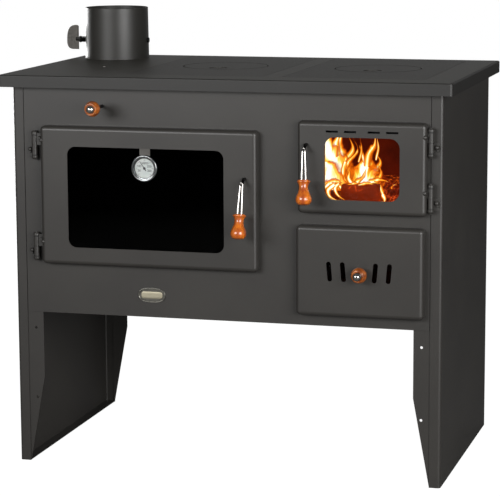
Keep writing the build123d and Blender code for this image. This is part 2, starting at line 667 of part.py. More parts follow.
spindle_left = leaf_root - DAMPER_SHANK_LAP
nut_start = flue_x + collar_radius + REST_GAP
spring_start = flue_x - collar_radius - REST_GAP
spring_length = SPRING_TURN_COUNT * SPRING_PITCH + SPRING_WIRE
with BuildPart() as damper_spindle:
    with BuildSketch(SIDE.offset(spindle_left)):
        with Locations((flue_y, damper_z)):
            Circle(DAMPER_SPINDLE_RADIUS)
    extrude(amount=nut_start + DAMPER_NUT_LENGTH - spindle_left)
    with BuildSketch(SIDE.offset(nut_start)):
        with Locations((flue_y, damper_z)):
            Circle(DAMPER_NUT_RADIUS)
    extrude(amount=DAMPER_NUT_LENGTH)
    with BuildSketch(SIDE.offset(spring_start - spring_length)):
        with Locations((flue_y, damper_z)):
            Circle(SPRING_COLLAR_RADIUS)
    extrude(amount=-SPRING_COLLAR_LENGTH)
    with BuildSketch(SIDE.offset(leaf_root)):
        with Locations((flue_y, damper_z)):
            Rectangle(DAMPER_LEAF_THICKNESS, 3 * DAMPER_SPINDLE_RADIUS)
    extrude(amount=-2 * DAMPER_SHANK_LAP, mode=Mode.SUBTRACT)

with BuildPart() as damper_disc:
    with BuildSketch(FRONT.offset(-flue_y)):
        with Locations((flue_x, damper_z)):
            Circle(flue_radius - FLUE_WALL - DAMPER_DISC_GAP)
    extrude(amount=DAMPER_DISC_THICKNESS / 2, both=True)
    sleeve_half = flue_radius - FLUE_WALL - 2 * DAMPER_DISC_GAP
    with BuildSketch(SIDE.offset(flue_x)):
        with Locations((flue_y, damper_z)):
            Circle(DAMPER_SLEEVE_RADIUS)
    extrude(amount=sleeve_half, both=True)
    with BuildSketch(SIDE.offset(flue_x)):
        with Locations((flue_y, damper_z)):
            Circle(DAMPER_SPINDLE_RADIUS)
    extrude(amount=flue_radius, both=True, mode=Mode.SUBTRACT)

with BuildPart() as damper_handle:
    with BuildSketch(FRONT.offset(-flue_y)):
        with BuildLine():
            shoulder = (leaf_root, damper_z + DAMPER_LEAF_UP * LEAF_SHOULDER)
            crown = (leaf_root - DAMPER_LEAF_WIDTH * LEAF_CROWN, damper_z + DAMPER_LEAF_UP)
            tip = (leaf_tip, damper_z - DAMPER_LEAF_DOWN * LEAF_TIP_DROP)
            heel = (leaf_root - DAMPER_LEAF_WIDTH * LEAF_HEEL, damper_z - DAMPER_LEAF_DOWN)
            corner = (leaf_root, damper_z - DAMPER_LEAF_DOWN)
            Spline(shoulder, crown, tangents=((0, 1), (-1, 0)))
            Spline(crown, tip, tangents=((-1, 0), (0, -1)))
            Spline(tip, heel, tangents=((0, -1), (1, 0)))
            Line(heel, corner)
            Line(corner, shoulder)
        make_face()
    extrude(amount=DAMPER_LEAF_THICKNESS / 2, both=True)


def spring_point(turn):
    """A point of the spring's centre line, after so many turns away from the collar."""
    angle = 2 * pi * turn
    along = spring_start - SPRING_WIRE / 2 - SPRING_PITCH * turn
    return Vector(
        BODY_X + along,
        FRONT_Y + flue_y + SPRING_RADIUS * cos(angle),
        damper_z + SPRING_RADIUS * sin(angle),
    )


def spring_direction(turn):
    """The direction of the spring's centre line at that point."""
    angle = 2 * pi * turn
    around = 2 * pi * SPRING_RADIUS
    return Vector(-SPRING_PITCH, -around * sin(angle), around * cos(angle)).normalized()


def quarter_turn(turn):
    """Two tangent arcs over a quarter of a turn, which meet half-way with one direction."""
    start, end = spring_point(turn), spring_point(turn + 0.25)
    first, last = spring_direction(turn), spring_direction(turn + 0.25)
    chord = end - start
    both = first + last
    square = both.dot(both) - 4
    reach = (chord.dot(both) - sqrt(chord.dot(both) ** 2 - square * chord.dot(chord))) / square
    joint = (start + first * reach + end - last * reach) * 0.5
    return start, first, joint, end


with BuildPart() as damper_spring:
    with BuildLine() as spring_path:
        for step in range(4 * SPRING_TURN_COUNT):
            begin, heading, meeting, finish = quarter_turn(step / 4)
            half_arc = TangentArc(begin, meeting, tangent=heading)
            TangentArc(meeting, finish, tangent=half_arc % 1)
    with BuildSketch(Plane(spring_path.wire() @ 0, z_dir=spring_path.wire() % 0)):
        Circle(SPRING_WIRE / 2)
    sweep()
print("spring: least gap between turns", round(SPRING_PITCH - SPRING_WIRE, 2))

# ================================================================ doors
def make_door_panel(area, window, corner):
    """A pressed pan with rolled edges and a window."""
    with BuildPart() as pan:
        with BuildSketch(FRONT.offset(DOOR_STANDOFF)):
            plate(area, DOOR_CORNER)
        extrude(amount=DOOR_DEPTH)
        fillet(pan.faces().sort_by(Axis.Y)[0].edges(), PRESS_RADIUS)
        offset(amount=-SHEET, openings=pan.faces().sort_by(Axis.Y)[-1])
        if window:
            with BuildSketch(FRONT.offset(door_face)):
                plate(window, corner)
            extrude(amount=-2 * SHEET, mode=Mode.SUBTRACT)
    return pan


def hole_through_door(centre, radius, depth=DOOR_DEPTH):
    """Cuts a round hole from a door's face backwards."""
    with BuildSketch(FRONT.offset(door_face)) as hole:
        with Locations(centre):
            Circle(radius)
    extrude(hole.sketch, amount=-depth, mode=Mode.SUBTRACT)


def stud_places(window):
    """Two studs beside each upright edge of a window."""
    x_values = (window.left - STUD_OFFSET, window.right + STUD_OFFSET)
    mid = (window.low + window.high) / 2
    half = (window.high - window.low) * STUD_SPREAD / 2
    return [(x, z) for x in x_values for z in (mid - half, mid + half)]


def make_liner(area, window, corner, latch):
    """The door's inner plate, with a reveal round the window that holds the glass."""
    reveal = window.grown(REVEAL_GAP + LINER_SHEET)
    with BuildPart() as liner:
        with BuildSketch(FRONT.offset(LINER_BACK)):
            plate(area.grown(-SHEET - REST_GAP), DOOR_CORNER - SHEET)
            plate(window.grown(REVEAL_GAP), corner, Mode.SUBTRACT)
            with Locations(latch):
                Circle(LATCH_ROD_RADIUS + RUNNING_GAP, mode=Mode.SUBTRACT)
            with Locations(*stud_places(window)):
                Circle(STUD_THREAD_RADIUS + SCREW_HOLE_GAP, mode=Mode.SUBTRACT)
        extrude(amount=LINER_SHEET)
        with BuildSketch(FRONT.offset(LINER_BACK)):
            plate(reveal, corner + LINER_SHEET)
            plate(window.grown(REVEAL_GAP), corner, Mode.SUBTRACT)
        extrude(amount=glass_back - LINER_BACK)
    return liner


def make_glass(window, corner):
    """The pane behind a door's window."""
    with BuildPart() as pane:
        with BuildSketch(FRONT.offset(glass_back)):
            plate(window.grown(GLASS_LAP), corner)
        extrude(amount=DOOR_GLASS)
    return pane


def make_seal(area, window, corner, strap=None):
    """The rope seal on the liner's back and the tape between pane and pan."""
    outer = area.grown(-SHEET - REST_GAP - SEAL_INSET)
    with BuildPart() as seal:
        with BuildSketch(FRONT.offset(SEAL_CLEARANCE)):
            ring(outer, outer.grown(-SEAL_WIDTH), DOOR_CORNER - SHEET)
        extrude(amount=LINER_BACK - SEAL_CLEARANCE)
        with BuildSketch(FRONT.offset(glass_front)):
            plate(window.grown(GLASS_LAP), corner)
            plate(window.grown(TAPE_INSET), corner, Mode.SUBTRACT)
            if strap:
                plate(strap, mode=Mode.SUBTRACT)
        extrude(amount=TAPE)
    return seal


def make_studs(window):
    """Studs from the pan to the liner, each with its nut on the liner's back."""
    with BuildPart() as studs:
        for spot in stud_places(window):
            for start, length, radius in (
                (LINER_BACK + LINER_SHEET, door_face - SHEET - LINER_BACK - LINER_SHEET, STUD_RADIUS),
                (LINER_BACK - STUD_NUT_HEIGHT, STUD_NUT_HEIGHT + LINER_SHEET, STUD_THREAD_RADIUS),
                (LINER_BACK - STUD_NUT_HEIGHT, STUD_NUT_HEIGHT, STUD_NUT_RADIUS),
            ):
                with BuildSketch(FRONT.offset(start)):
                    with Locations(spot):
                        Circle(radius)
                extrude(amount=length)
    return studs


oven_latch = (oven_door.right - OVEN_LATCH_INSET, oven_door.high - OVEN_LATCH_DROP)
fire_latch = (fire_door.left + FIRE_LATCH_INSET, fire_door.high - FIRE_LATCH_DROP)
dial_at = ((oven_window.left + oven_window.right) / 2, oven_window.high - DIAL_DROP)
strap_area = Area(
    dial_at[0] - STRAP_WIDTH / 2,
    dial_at[0] + STRAP_WIDTH / 2,
    dial_at[1],
    oven_window.high + STRAP_TUCK,
)

oven_door_panel = make_door_panel(oven_door, oven_window, OVEN_WINDOW_CORNER)
with oven_door_panel:
    hole_through_door(oven_latch, LATCH_ROD_RADIUS + RUNNING_GAP)
fire_door_panel = make_door_panel(fire_door, fire_window, FIRE_WINDOW_CORNER)
with fire_door_panel:
    hole_through_door(fire_latch, LATCH_ROD_RADIUS + RUNNING_GAP)
    slot_middle = (fire_window.left + fire_window.right) / 2
    slot_level = fire_door.high - AIR_SLOT_DROP
    slot_spots = [
        (slot_middle + pair * AIR_PAIR_SPACING / 2 + one * AIR_SLOT_PITCH / 2, slot_level)
        for pair in (-1, 1)
        for one in (-1, 1)
    ]
    with BuildSketch(FRONT.offset(door_face)) as air_slots:
        with Locations(*slot_spots):
            Rectangle(AIR_SLOT_WIDTH, AIR_SLOT_HEIGHT)
    extrude(air_slots.sketch, amount=-2 * SHEET, mode=Mode.SUBTRACT)

oven_door_liner = make_liner(oven_door, oven_window, OVEN_WINDOW_CORNER, oven_latch)
fire_door_liner = make_liner(fire_door, fire_window, FIRE_WINDOW_CORNER, fire_latch)
oven_door_glass = make_glass(oven_window, OVEN_WINDOW_CORNER)
fire_door_glass = make_glass(fire_window, FIRE_WINDOW_CORNER)
oven_door_seal = make_seal(oven_door, oven_window, OVEN_WINDOW_CORNER, strap_area.grown(REST_GAP))
fire_door_seal = make_seal(fire_door, fire_window, FIRE_WINDOW_CORNER)
oven_door_studs = make_studs(oven_window)
fire_door_studs = make_studs(fire_window)

# ================================================================ hinges
oven_pin_x = oven_door.left - OVEN_HINGE_REACH
fire_pin_x = fire_door.right + FIRE_HINGE_REACH
oven_hinges = (oven_door.low + OVEN_HINGE_LIFT, oven_door.high - OVEN_HINGE_DROP)
fire_hinges = (fire_door.low + FIRE_HINGE_LIFT, fire_door.high - FIRE_HINGE_DROP)
barrel_half = HINGE_LENGTH / 2 - FINIAL


def barrel(pin_x, low, high, bore):
    """A knuckle round a pin."""
    with BuildSketch(FLOOR.offset(low)) as outside:
        with Locations((pin_x, -HINGE_STANDOFF)):
            Circle(HINGE_RADIUS)
    extrude(outside.sketch, amount=high - low)
    with BuildSketch(FLOOR.offset(low)) as inside:
        with Locations((pin_x, -HINGE_STANDOFF)):
            Circle(bore)
    extrude(inside.sketch, amount=high - low, mode=Mode.SUBTRACT)


def rivet(x, z, out):
    """A domed rivet head that stands forward from a leaf."""
    with BuildSketch(FRONT.offset(out)) as head:
        with Locations((x, z)):
            Circle(RIVET_RADIUS)
    extrude(head.sketch, amount=RIVET_HEIGHT, taper=RIVET_TAPER)


def make_knuckles(pin_x, edge_x, centres):
    """The two upper knuckles, each with a leaf to the door's edge and a rivet."""
    near, far = sorted((pin_x, edge_x))
    with BuildPart() as knuckles:
        for centre in centres:
            with BuildSketch(FRONT.offset(HINGE_STANDOFF - HINGE_LEAF / 2)):
                plate(Area(near, far, centre + REST_GAP, centre + barrel_half))
            extrude(amount=HINGE_LEAF)
            rivet_x = edge_x + (RIVET_RADIUS + REST_GAP) * (1 if pin_x > edge_x else -1)
            rivet(rivet_x, centre + barrel_half * RIVET_AT, HINGE_STANDOFF + HINGE_LEAF / 2)
            barrel(pin_x, centre + REST_GAP, centre + barrel_half, HINGE_PIN_RADIUS + RUNNING_GAP)
    return knuckles


with BuildPart() as hinge_leaves:
    for pin, away, levels in ((oven_pin_x, -1, oven_hinges), (fire_pin_x, 1, fire_hinges)):
        for level in levels:
            low, high = level - barrel_half, level - REST_GAP
            leaf = sorted((pin, pin + away * FIXED_LEAF_WIDTH))
            web = sorted((pin + away * (HINGE_RADIUS - HINGE_LEAF), pin + away * HINGE_RADIUS))
            with BuildSketch(FLOOR.offset(low)):
                plate(Area(*leaf, -HINGE_LEAF, 0))
                plate(Area(*web, -HINGE_STANDOFF, 0))
            extrude(amount=high - low)
            barrel(pin, low, high, HINGE_PIN_RADIUS)
            rivet_x = pin + away * (FIXED_LEAF_WIDTH - RIVET_RADIUS - RIVET_EDGE)
            rivet(rivet_x, level - barrel_half * RIVET_AT, HINGE_LEAF)

with BuildPart() as hinge_pins:
    for pin, levels in ((oven_pin_x, oven_hinges), (fire_pin_x, fire_hinges)):
        for level in levels:
            with BuildSketch(FLOOR.offset(level - barrel_half)):
                with Locations((pin, -HINGE_STANDOFF)):
                    Circle(HINGE_PIN_RADIUS)
            extrude(amount=2 * barrel_half)
            for end, way in ((level + barrel_half + REST_GAP, 1), (level - barrel_half, -1)):
                with BuildSketch(FLOOR.offset(end)):
                    with Locations((pin, -HINGE_STANDOFF)):
                        Circle(FINIAL_RADIUS)
                extrude(amount=way * FINIAL, taper=FINIAL_TAPER)
            with BuildSketch(FLOOR.offset(level)):
                with Locations((pin, -HINGE_STANDOFF)):
                    Circle(HINGE_PIN_RADIUS)
            extrude(amount=barrel_half + REST_GAP)

oven_door_knuckles = make_knuckles(oven_pin_x, oven_door.left, oven_hinges)
fire_door_knuckles = make_knuckles(fire_pin_x, fire_door.right, fire_hinges)


# ================================================================ latch handles
def handle_plane(latch, sway):
    """A plane whose Y runs up along a hanging handle, with its origin at the shank's tip."""
    tip = (BODY_X + latch[0], FRONT_Y - shank_tip_out, latch[1] - SHANK_DROP)
    lean = radians(HANDLE_LEAN)
    aside = radians(sway)
    level = (cos(aside), sin(lean) * sin(aside), cos(lean) * sin(aside))
    return Plane(tip, x_dir=level, z_dir=(0, -cos(lean), sin(lean)))


def make_wire(hang):
    """A hairpin of round wire: a bend over the shank's tip and two legs that spread to the grip."""
    foot = -WIRE_LENGTH + SCREW_HOLE_GAP
    with BuildPart() as wire:
        with BuildLine(hang) as hairpin:
            leg = Line((-WIRE_SPREAD, foot), (-WIRE_LOOP, 0))
            bend = TangentArc((-WIRE_LOOP, 0), (WIRE_LOOP, 0), tangent=leg % 1)
            Line(bend @ 1, (WIRE_SPREAD, foot))
        with BuildSketch(Plane(hairpin.wire() @ 0, z_dir=hairpin.wire() % 0)):
            Circle(WIRE_RADIUS)
        sweep()
    return wire


def make_grip(hang):
    """A turned wooden grip: rim, waist and round bulb."""
    rim_low = -WIRE_LENGTH - GRIP_RIM_HEIGHT
    bulb = -WIRE_LENGTH - GRIP_BULB_AT
    foot = -WIRE_LENGTH - GRIP_LENGTH
    neck = (bulb + rim_low) / 2 + GRIP_NECK_LIFT
    spread = radians(GRIP_BULB_TURN)
    bulb_top = (GRIP_BULB_RADIUS * cos(spread), bulb + GRIP_BULB_RADIUS * sin(spread))
    foot_radius = sqrt(GRIP_BULB_RADIUS ** 2 - (bulb - foot) ** 2)
    rim_start = (GRIP_RIM_RADIUS - GRIP_RIM_UNDERCUT, rim_low)
    rim_widest = (GRIP_RIM_RADIUS, rim_low + GRIP_RIM_HEIGHT * GRIP_RIM_SWELL)
    rim_end = (GRIP_RIM_RADIUS - GRIP_RIM_TUCK, -WIRE_LENGTH)
    with BuildPart() as grip:
        with BuildSketch(hang):
            with BuildLine():
                Line((0, foot), (foot_radius, foot))
                ThreePointArc((foot_radius, foot), (GRIP_BULB_RADIUS, bulb), bulb_top)
                Spline(
                    bulb_top,
                    (GRIP_NECK_RADIUS, neck),
                    rim_start,
                    tangents=((-sin(spread), cos(spread)), (GRIP_RIM_UNDERCUT, 1)),
                )
                ThreePointArc(rim_start, rim_widest, rim_end)
                Line(rim_end, (0, -WIRE_LENGTH))
                Line((0, -WIRE_LENGTH), (0, foot))
            make_face()
        revolve(axis=Axis(hang.origin, hang.y_dir))
    return grip


def make_latch(latch, cam_edge, hang):
    """A rod through the door with a cam inside and a bent shank outside that carries the wire."""
    corner = Vector(BODY_X + latch[0], FRONT_Y - door_face - SHANK_STRAIGHT, latch[1])
    cam = sorted((latch[0], cam_edge))
    outwards = hang.z_dir
    neck = hang.origin - outwards * (WIRE_RADIUS + SHANK_RADIUS + WIRE_PLAY)
    with BuildPart() as rod:
        with BuildSketch(FRONT.offset(-SHEET - REST_GAP - CAM_THICKNESS)):
            with Locations(latch):
                Circle(LATCH_ROD_RADIUS)
        extrude(amount=door_face + SHANK_STRAIGHT + SHEET + REST_GAP + CAM_THICKNESS)
        with BuildSketch(FRONT.offset(-SHEET - REST_GAP)):
            with Locations(latch):
                Circle(CAM_WIDTH / 2)
            plate(Area(*cam, latch[1] - CAM_WIDTH / 2, latch[1] + CAM_WIDTH / 2))
        extrude(amount=-CAM_THICKNESS)
        with Locations(corner):
            Sphere(LATCH_ROD_RADIUS)
        with BuildSketch(Plane(corner, z_dir=neck - corner)):
            Circle(SHANK_RADIUS)
        extrude(amount=(neck - corner).length)
        with Locations(neck):
            Sphere(SHANK_RADIUS)
        with BuildSketch(Plane(neck, z_dir=outwards)):
            Circle(WIRE_LOOP - WIRE_RADIUS - WIRE_PLAY)
        extrude(amount=SHANK_RADIUS + 2 * (WIRE_RADIUS + WIRE_PLAY))
        with BuildSketch(Plane(hang.origin + outwards * (WIRE_RADIUS + WIRE_PLAY), z_dir=outwards)):
            Circle(SHANK_RADIUS)
        extrude(amount=SHANK_HEAD)
    return rod


oven_hang = handle_plane(oven_latch, OVEN_HANDLE_SWAY)
fire_hang = handle_plane(fire_latch, FIRE_HANDLE_SWAY)
oven_handle_wire = make_wire(oven_hang)
fire_handle_wire = make_wire(fire_hang)
oven_handle_grip = make_grip(oven_hang)
fire_handle_grip = make_grip(fire_hang)
oven_cam_edge = oven_opening.right - CAM_CLEARANCE
fire_cam_edge = fire_opening.left + CAM_CLEARANCE
oven_door_latch = make_latch(oven_latch, oven_cam_edge, oven_hang)
fire_door_latch = make_latch(fire_latch, fire_cam_edge, fire_hang)

# ================================================================ thermometer
strap_back = glass_front + (TAPE - STRAP_THICKNESS) / 2
case_back = strap_back + STRAP_THICKNESS
case_front = case_back + DIAL_CASE_DEPTH
dial_face = case_back + DIAL_BACK + DIAL_PLATE
bore_radius = DIAL_CASE_RADIUS - DIAL_CASE_WALL

with BuildPart() as thermometer_strap:
    with BuildSketch(FRONT.offset(strap_back)):
        plate(strap_area)
    extrude(amount=STRAP_THICKNESS)

with BuildPart() as thermometer_case:
    with BuildSketch(FRONT.offset(case_back)):
        with Locations(dial_at):
            Circle(DIAL_CASE_RADIUS)
    extrude(amount=DIAL_CASE_DEPTH)
    fillet(thermometer_case.faces().sort_by(Axis.Y)[0].edges(), DIAL_CASE_ROUND)
    with BuildSketch(FRONT.offset(case_back + DIAL_BACK)):
        with Locations(dial_at):
            Circle(bore_radius)
    extrude(amount=DIAL_CASE_DEPTH, mode=Mode.SUBTRACT)

with BuildPart() as thermometer_dial:
    with BuildSketch(FRONT.offset(case_back + DIAL_BACK)):
        with Locations(dial_at):
            Circle(bore_radius)
            Circle(NEEDLE_SHAFT_RADIUS + RUNNING_GAP, mode=Mode.SUBTRACT)
    extrude(amount=DIAL_PLATE)

with BuildPart() as thermometer_glass:
    with BuildSketch(FRONT.offset(case_front - DIAL_GLASS_INSET - DIAL_GLASS)):
        with Locations(dial_at):
            Circle(bore_radius)
    extrude(amount=DIAL_GLASS)

with BuildPart() as thermometer_needle:
    turned = FRONT.offset(dial_face + REST_GAP)
    with BuildSketch(turned):
        with Locations(Location((dial_at[0], dial_at[1], 0), (0, 0, NEEDLE_REST))):
            Circle(NEEDLE_HUB_RADIUS)
            Polygon(
                (-NEEDLE_WIDTH / 2, -NEEDLE_TAIL),
                (NEEDLE_WIDTH / 2, -NEEDLE_TAIL),
                (NEEDLE_WIDTH / 2, 0),
                (NEEDLE_TIP_WIDTH / 2, NEEDLE_LENGTH),
                (-NEEDLE_TIP_WIDTH / 2, NEEDLE_LENGTH),
                (-NEEDLE_WIDTH / 2, 0),
                align=None,
            )
    extrude(amount=NEEDLE_THICKNESS)
    with BuildSketch(turned):
        with Locations(dial_at):
            Circle(NEEDLE_SHAFT_RADIUS)
    extrude(amount=-REST_GAP - DIAL_PLATE)

# ================================================================ knobs
def make_knob(at, face, reach):
    """A wooden ball with a neck, bored for its screw and sunk for the screw's head."""
    with BuildPart() as knob:
        centre = Vector(BODY_X + at[0], FRONT_Y - face - reach, at[1])
        with Locations(centre):
            Sphere(KNOB_RADIUS)
        with BuildSketch(FRONT.offset(face + reach)):
            with Locations(at):
                Circle(KNOB_NECK_RADIUS)
        extrude(amount=-KNOB_RADIUS - KNOB_NECK_STEP)
        with BuildSketch(FRONT.offset(face + reach + KNOB_RADIUS - CAP_SCREW_SEAT)):
            with Locations(at):
                Circle(CAP_SCREW_RADIUS)
        extrude(amount=KNOB_RADIUS, mode=Mode.SUBTRACT)
        with BuildSketch(FRONT.offset(face + reach + KNOB_RADIUS)):
            with Locations(at):
                Circle(KNOB_SCREW_RADIUS)
        extrude(amount=-3 * KNOB_RADIUS, mode=Mode.SUBTRACT)
    return knob


def make_cap_screw(at, face, reach, length):
    """A screw with a polished dome for a head."""
    with BuildPart() as screw:
        seat = face + reach + KNOB_RADIUS - CAP_SCREW_SEAT
        with BuildSketch(FRONT.offset(seat)):
            with Locations(at):
                Circle(CAP_SCREW_RADIUS)
        extrude(amount=CAP_SCREW_HEIGHT)
        fillet(screw.faces().sort_by(Axis.Y)[0].edges(), CAP_SCREW_ROUND)
        with BuildSketch(FRONT.offset(seat)):
            with Locations(at):
                Circle(KNOB_SCREW_RADIUS)
        extrude(amount=-length)
    return screw


drawer_middle = (drawer.left + drawer.right) / 2
drawer_knob_at = (drawer_middle + DRAWER_KNOB_SHIFT, drawer.high - DRAWER_KNOB_DROP)
ash_knob = make_knob(drawer_knob_at, door_face, DRAWER_KNOB_REACH)
with ash_knob:
    with BuildSketch(FRONT.offset(door_face)) as neck:
        with Locations(drawer_knob_at):
            Circle(KNOB_NECK_RADIUS)
            Circle(KNOB_SCREW_RADIUS, mode=Mode.SUBTRACT)
    extrude(neck.sketch, amount=DRAWER_KNOB_REACH - KNOB_RADIUS)
ash_screw_length = DRAWER_KNOB_REACH + KNOB_RADIUS + 2 * SHEET
ash_knob_screw = make_cap_screw(drawer_knob_at, door_face, DRAWER_KNOB_REACH, ash_screw_length)

bypass_at = (bypass_x, bypass_z)
bypass_knob = make_knob(bypass_at, 0, BYPASS_KNOB_REACH)
bypass_screw_length = KNOB_RADIUS
bypass_knob_screw = make_cap_screw(bypass_at, 0, BYPASS_KNOB_REACH, bypass_screw_length)

# ================================================================ bypass
shutter_back = BODY_DEPTH - 2 * SHEET - BYPASS_PUSH - SHUTTER_BACK_GAP
shutter_front = shutter_back - SHUTTER_LENGTH
baffle_near = bypass_x - BAFFLE_OFFSET
shutter_near = baffle_near + REST_GAP
lug_spots = (shutter_front + SHUTTER_LUG, shutter_back - 2 * SHUTTER_LUG)
rod_front = BYPASS_KNOB_REACH - KNOB_RADIUS - KNOB_NECK_STEP
rod_nose = BYPASS_KNOB_REACH + KNOB_RADIUS - CAP_SCREW_SEAT - bypass_screw_length
rod_back = shutter_back - SHUTTER_LUG

with BuildPart() as bypass_rod:
    with BuildSketch(FRONT.offset(rod_nose)):
        with Locations(bypass_at):
            Circle(KNOB_SCREW_RADIUS)
    extrude(amount=rod_front - rod_nose)
    with BuildSketch(FRONT.offset(rod_front)):
        with Locations(bypass_at):
            Circle(BYPASS_ROD_RADIUS)
    extrude(amount=-rod_front - rod_back)

with BuildPart() as bypass_shutter:
    shutter_low = bypass_z - SHUTTER_HEIGHT / 2
    lug_low = bypass_z - SHUTTER_LUG_RADIUS
    with BuildSketch(SIDE.offset(shutter_near)):
        plate(Area(shutter_front, shutter_back, shutter_low, shutter_low + SHUTTER_HEIGHT))
    extrude(amount=SHEET)
    for lug_y in lug_spots:
        with BuildSketch(FRONT.offset(-lug_y)):
            with Locations(bypass_at):
                Circle(SHUTTER_LUG_RADIUS)
            plate(Area(shutter_near, bypass_x, lug_low, lug_low + 2 * SHUTTER_LUG_RADIUS))
        extrude(amount=-SHUTTER_LUG)
        with BuildSketch(FRONT.offset(-lug_y)):
            with Locations(bypass_at):
                Circle(BYPASS_ROD_RADIUS)
        extrude(amount=-SHUTTER_LUG, mode=Mode.SUBTRACT)

with BuildPart() as bypass_bush:
    with BuildSketch(FRONT.offset(-SHEET)):
        with Locations(bypass_at):
            Circle(BYPASS_BUSH_RADIUS)
            Circle(BYPASS_ROD_RADIUS + RUNNING_GAP, mode=Mode.SUBTRACT)
    extrude(amount=-BYPASS_BUSH_LENGTH)

oven_roof = oven_opening.high + OVEN_SHEET
port_middle = (shutter_front + shutter_back) / 2
with BuildPart() as smoke_baffle:
    with BuildSketch(SIDE.offset(baffle_near)):
        plate(Area(2 * SHEET, BODY_DEPTH - 2 * SHEET, oven_roof, plate_low - REST_GAP))
        with Locations((port_middle, bypass_z)):
            Rectangle(PORT_LENGTH, PORT_HEIGHT, mode=Mode.SUBTRACT)
    extrude(amount=-SHEET)
    with BuildSketch(FRONT.offset(-BYPASS_GUIDE_AT)):
        guide_half = BYPASS_BUSH_RADIUS + SHEET
        guide_low = bypass_z - guide_half
        plate(Area(baffle_near - SHEET, bypass_x + guide_half, guide_low, guide_low + 2 * guide_half))
        with Locations(bypass_at):
            Circle(BYPASS_ROD_RADIUS + RUNNING_GAP, mode=Mode.SUBTRACT)
    extrude(amount=-2 * SHEET)

# ================================================================ oven
oven_cavity = oven_opening
with BuildPart() as oven_box:
    with BuildSketch(FRONT.offset(-SHEET)):
        plate(oven_cavity.grown(OVEN_SHEET))
    extrude(amount=-(OVEN_DEPTH + OVEN_SHEET - SHEET))
    with BuildSketch(FRONT.offset(-SHEET)):
        plate(oven_cavity)
    extrude(amount=-(OVEN_DEPTH - SHEET), mode=Mode.SUBTRACT)
    for rise in RIB_LEVELS:
        rib_low = oven_cavity.low + rise
        with BuildSketch(FRONT.offset(-RIB_START)):
            plate(Area(oven_cavity.left, oven_cavity.left + RIB_WIDTH, rib_low, rib_low + RIB_HEIGHT))
            plate(Area(oven_cavity.right - RIB_WIDTH, oven_cavity.right, rib_low, rib_low + RIB_HEIGHT))
        extrude(amount=-RIB_LENGTH)

rack_low = oven_cavity.low + RIB_LEVELS[RACK_LEVEL] + RIB_HEIGHT
rack_area = Area(
    oven_cavity.left + RACK_CLEARANCE,
    oven_cavity.right - RACK_CLEARANCE,
    RIB_START,
    RIB_START + RIB_LENGTH,
)
with BuildPart() as oven_rack:
    with BuildSketch(FLOOR.offset(rack_low)):
        plate(rack_area)
        gap_pitch = (rack_area.right - rack_area.left - RACK_BAR) / RACK_GAP_COUNT
        gap_length = (RIB_LENGTH - 3 * RACK_BAR) / 2
        for number in range(RACK_GAP_COUNT):
            gap_left = rack_area.left + RACK_BAR + number * gap_pitch
            for gap_start in (RIB_START + RACK_BAR, RIB_START + 2 * RACK_BAR + gap_length):
                gap = Area(gap_left, gap_left + gap_pitch - RACK_BAR, gap_start, gap_start + gap_length)
                plate(gap, mode=Mode.SUBTRACT)
    extrude(amount=RACK_THICKNESS)

shell_left = fire_opening.left - FIREBOX_SIDE
with BuildPart() as flueway_floor:
    with BuildSketch(FLOOR.offset(oven_cavity.low - OVEN_SHEET - FLUEWAY_DROP)):
        plate(floor_area._replace(right=shell_left - FIREBOX_SHEET), BEND_RADIUS - SHEET)
    extrude(amount=-SHEET)

# ================================================================ firebox, bricks, grate and ash pan
shell = Area(shell_left, fire_opening.right + FIREBOX_RIGHT_GAP, SHEET, BODY_DEPTH - FIREBOX_BACK_GAP)
shell_top = body_top
shelf_low = fire_opening.low - SHELF_DROP
grate_mid = middle(shell)
grate_length = shell.high - shell.low - 2 * GRATE_END
rail_length = shell.high - ASH_RAIL_BACK_GAP - 2 * RETURN_DEPTH
pan_low = drawer_opening.low + ASH_PAN_LIFT
pan_area = Area(
    drawer_opening.left + ASH_PAN_SIDE,
    drawer_opening.right - ASH_PAN_SIDE,
    SHEET - door_face,
    shell.high - ASH_PAN_BACK_GAP,
)

with BuildPart() as firebox_shell:
    with BuildSketch(FLOOR.offset(base_height)):
        outside = shell.grown(FIREBOX_SHEET)
        plate(outside._replace(low=shell.low))
        plate(shell._replace(low=0), mode=Mode.SUBTRACT)
    extrude(amount=shell_top - base_height)
    with BuildSketch(FLOOR.offset(shelf_low)):
        plate(shell)
        with Locations(grate_mid):
            Rectangle(GRATE_WIDTH, grate_length, mode=Mode.SUBTRACT)
    extrude(amount=FIREBOX_SHEET)
    with BuildSketch(SIDE.offset(shell.left)):
        exit_back = shell.high - SMOKE_EXIT_BACK
        plate(Area(SMOKE_EXIT_FRONT, exit_back, shell_top - SMOKE_EXIT_HEIGHT, shell_top))
    extrude(amount=-FIREBOX_SHEET, mode=Mode.SUBTRACT)
    for rail_left in (pan_area.left, pan_area.right - ASH_RAIL_WIDTH):
        rail_right = rail_left + ASH_RAIL_WIDTH
        with BuildSketch(FRONT.offset(-2 * RETURN_DEPTH)):
            plate(Area(rail_left, rail_right, pan_low - REST_GAP - SHEET, pan_low - REST_GAP))
            plate(Area(rail_left, rail_left + SHEET, base_height, pan_low - REST_GAP))
            plate(Area(rail_right - SHEET, rail_right, base_height, pan_low - REST_GAP))
        extrude(amount=-rail_length)
    with BuildSketch(FLOOR.offset(base_height)):
        plate(Area(shell.left, shell.right, 2 * RETURN_DEPTH, 2 * RETURN_DEPTH + rail_length))
    extrude(amount=FIREBOX_SHEET)

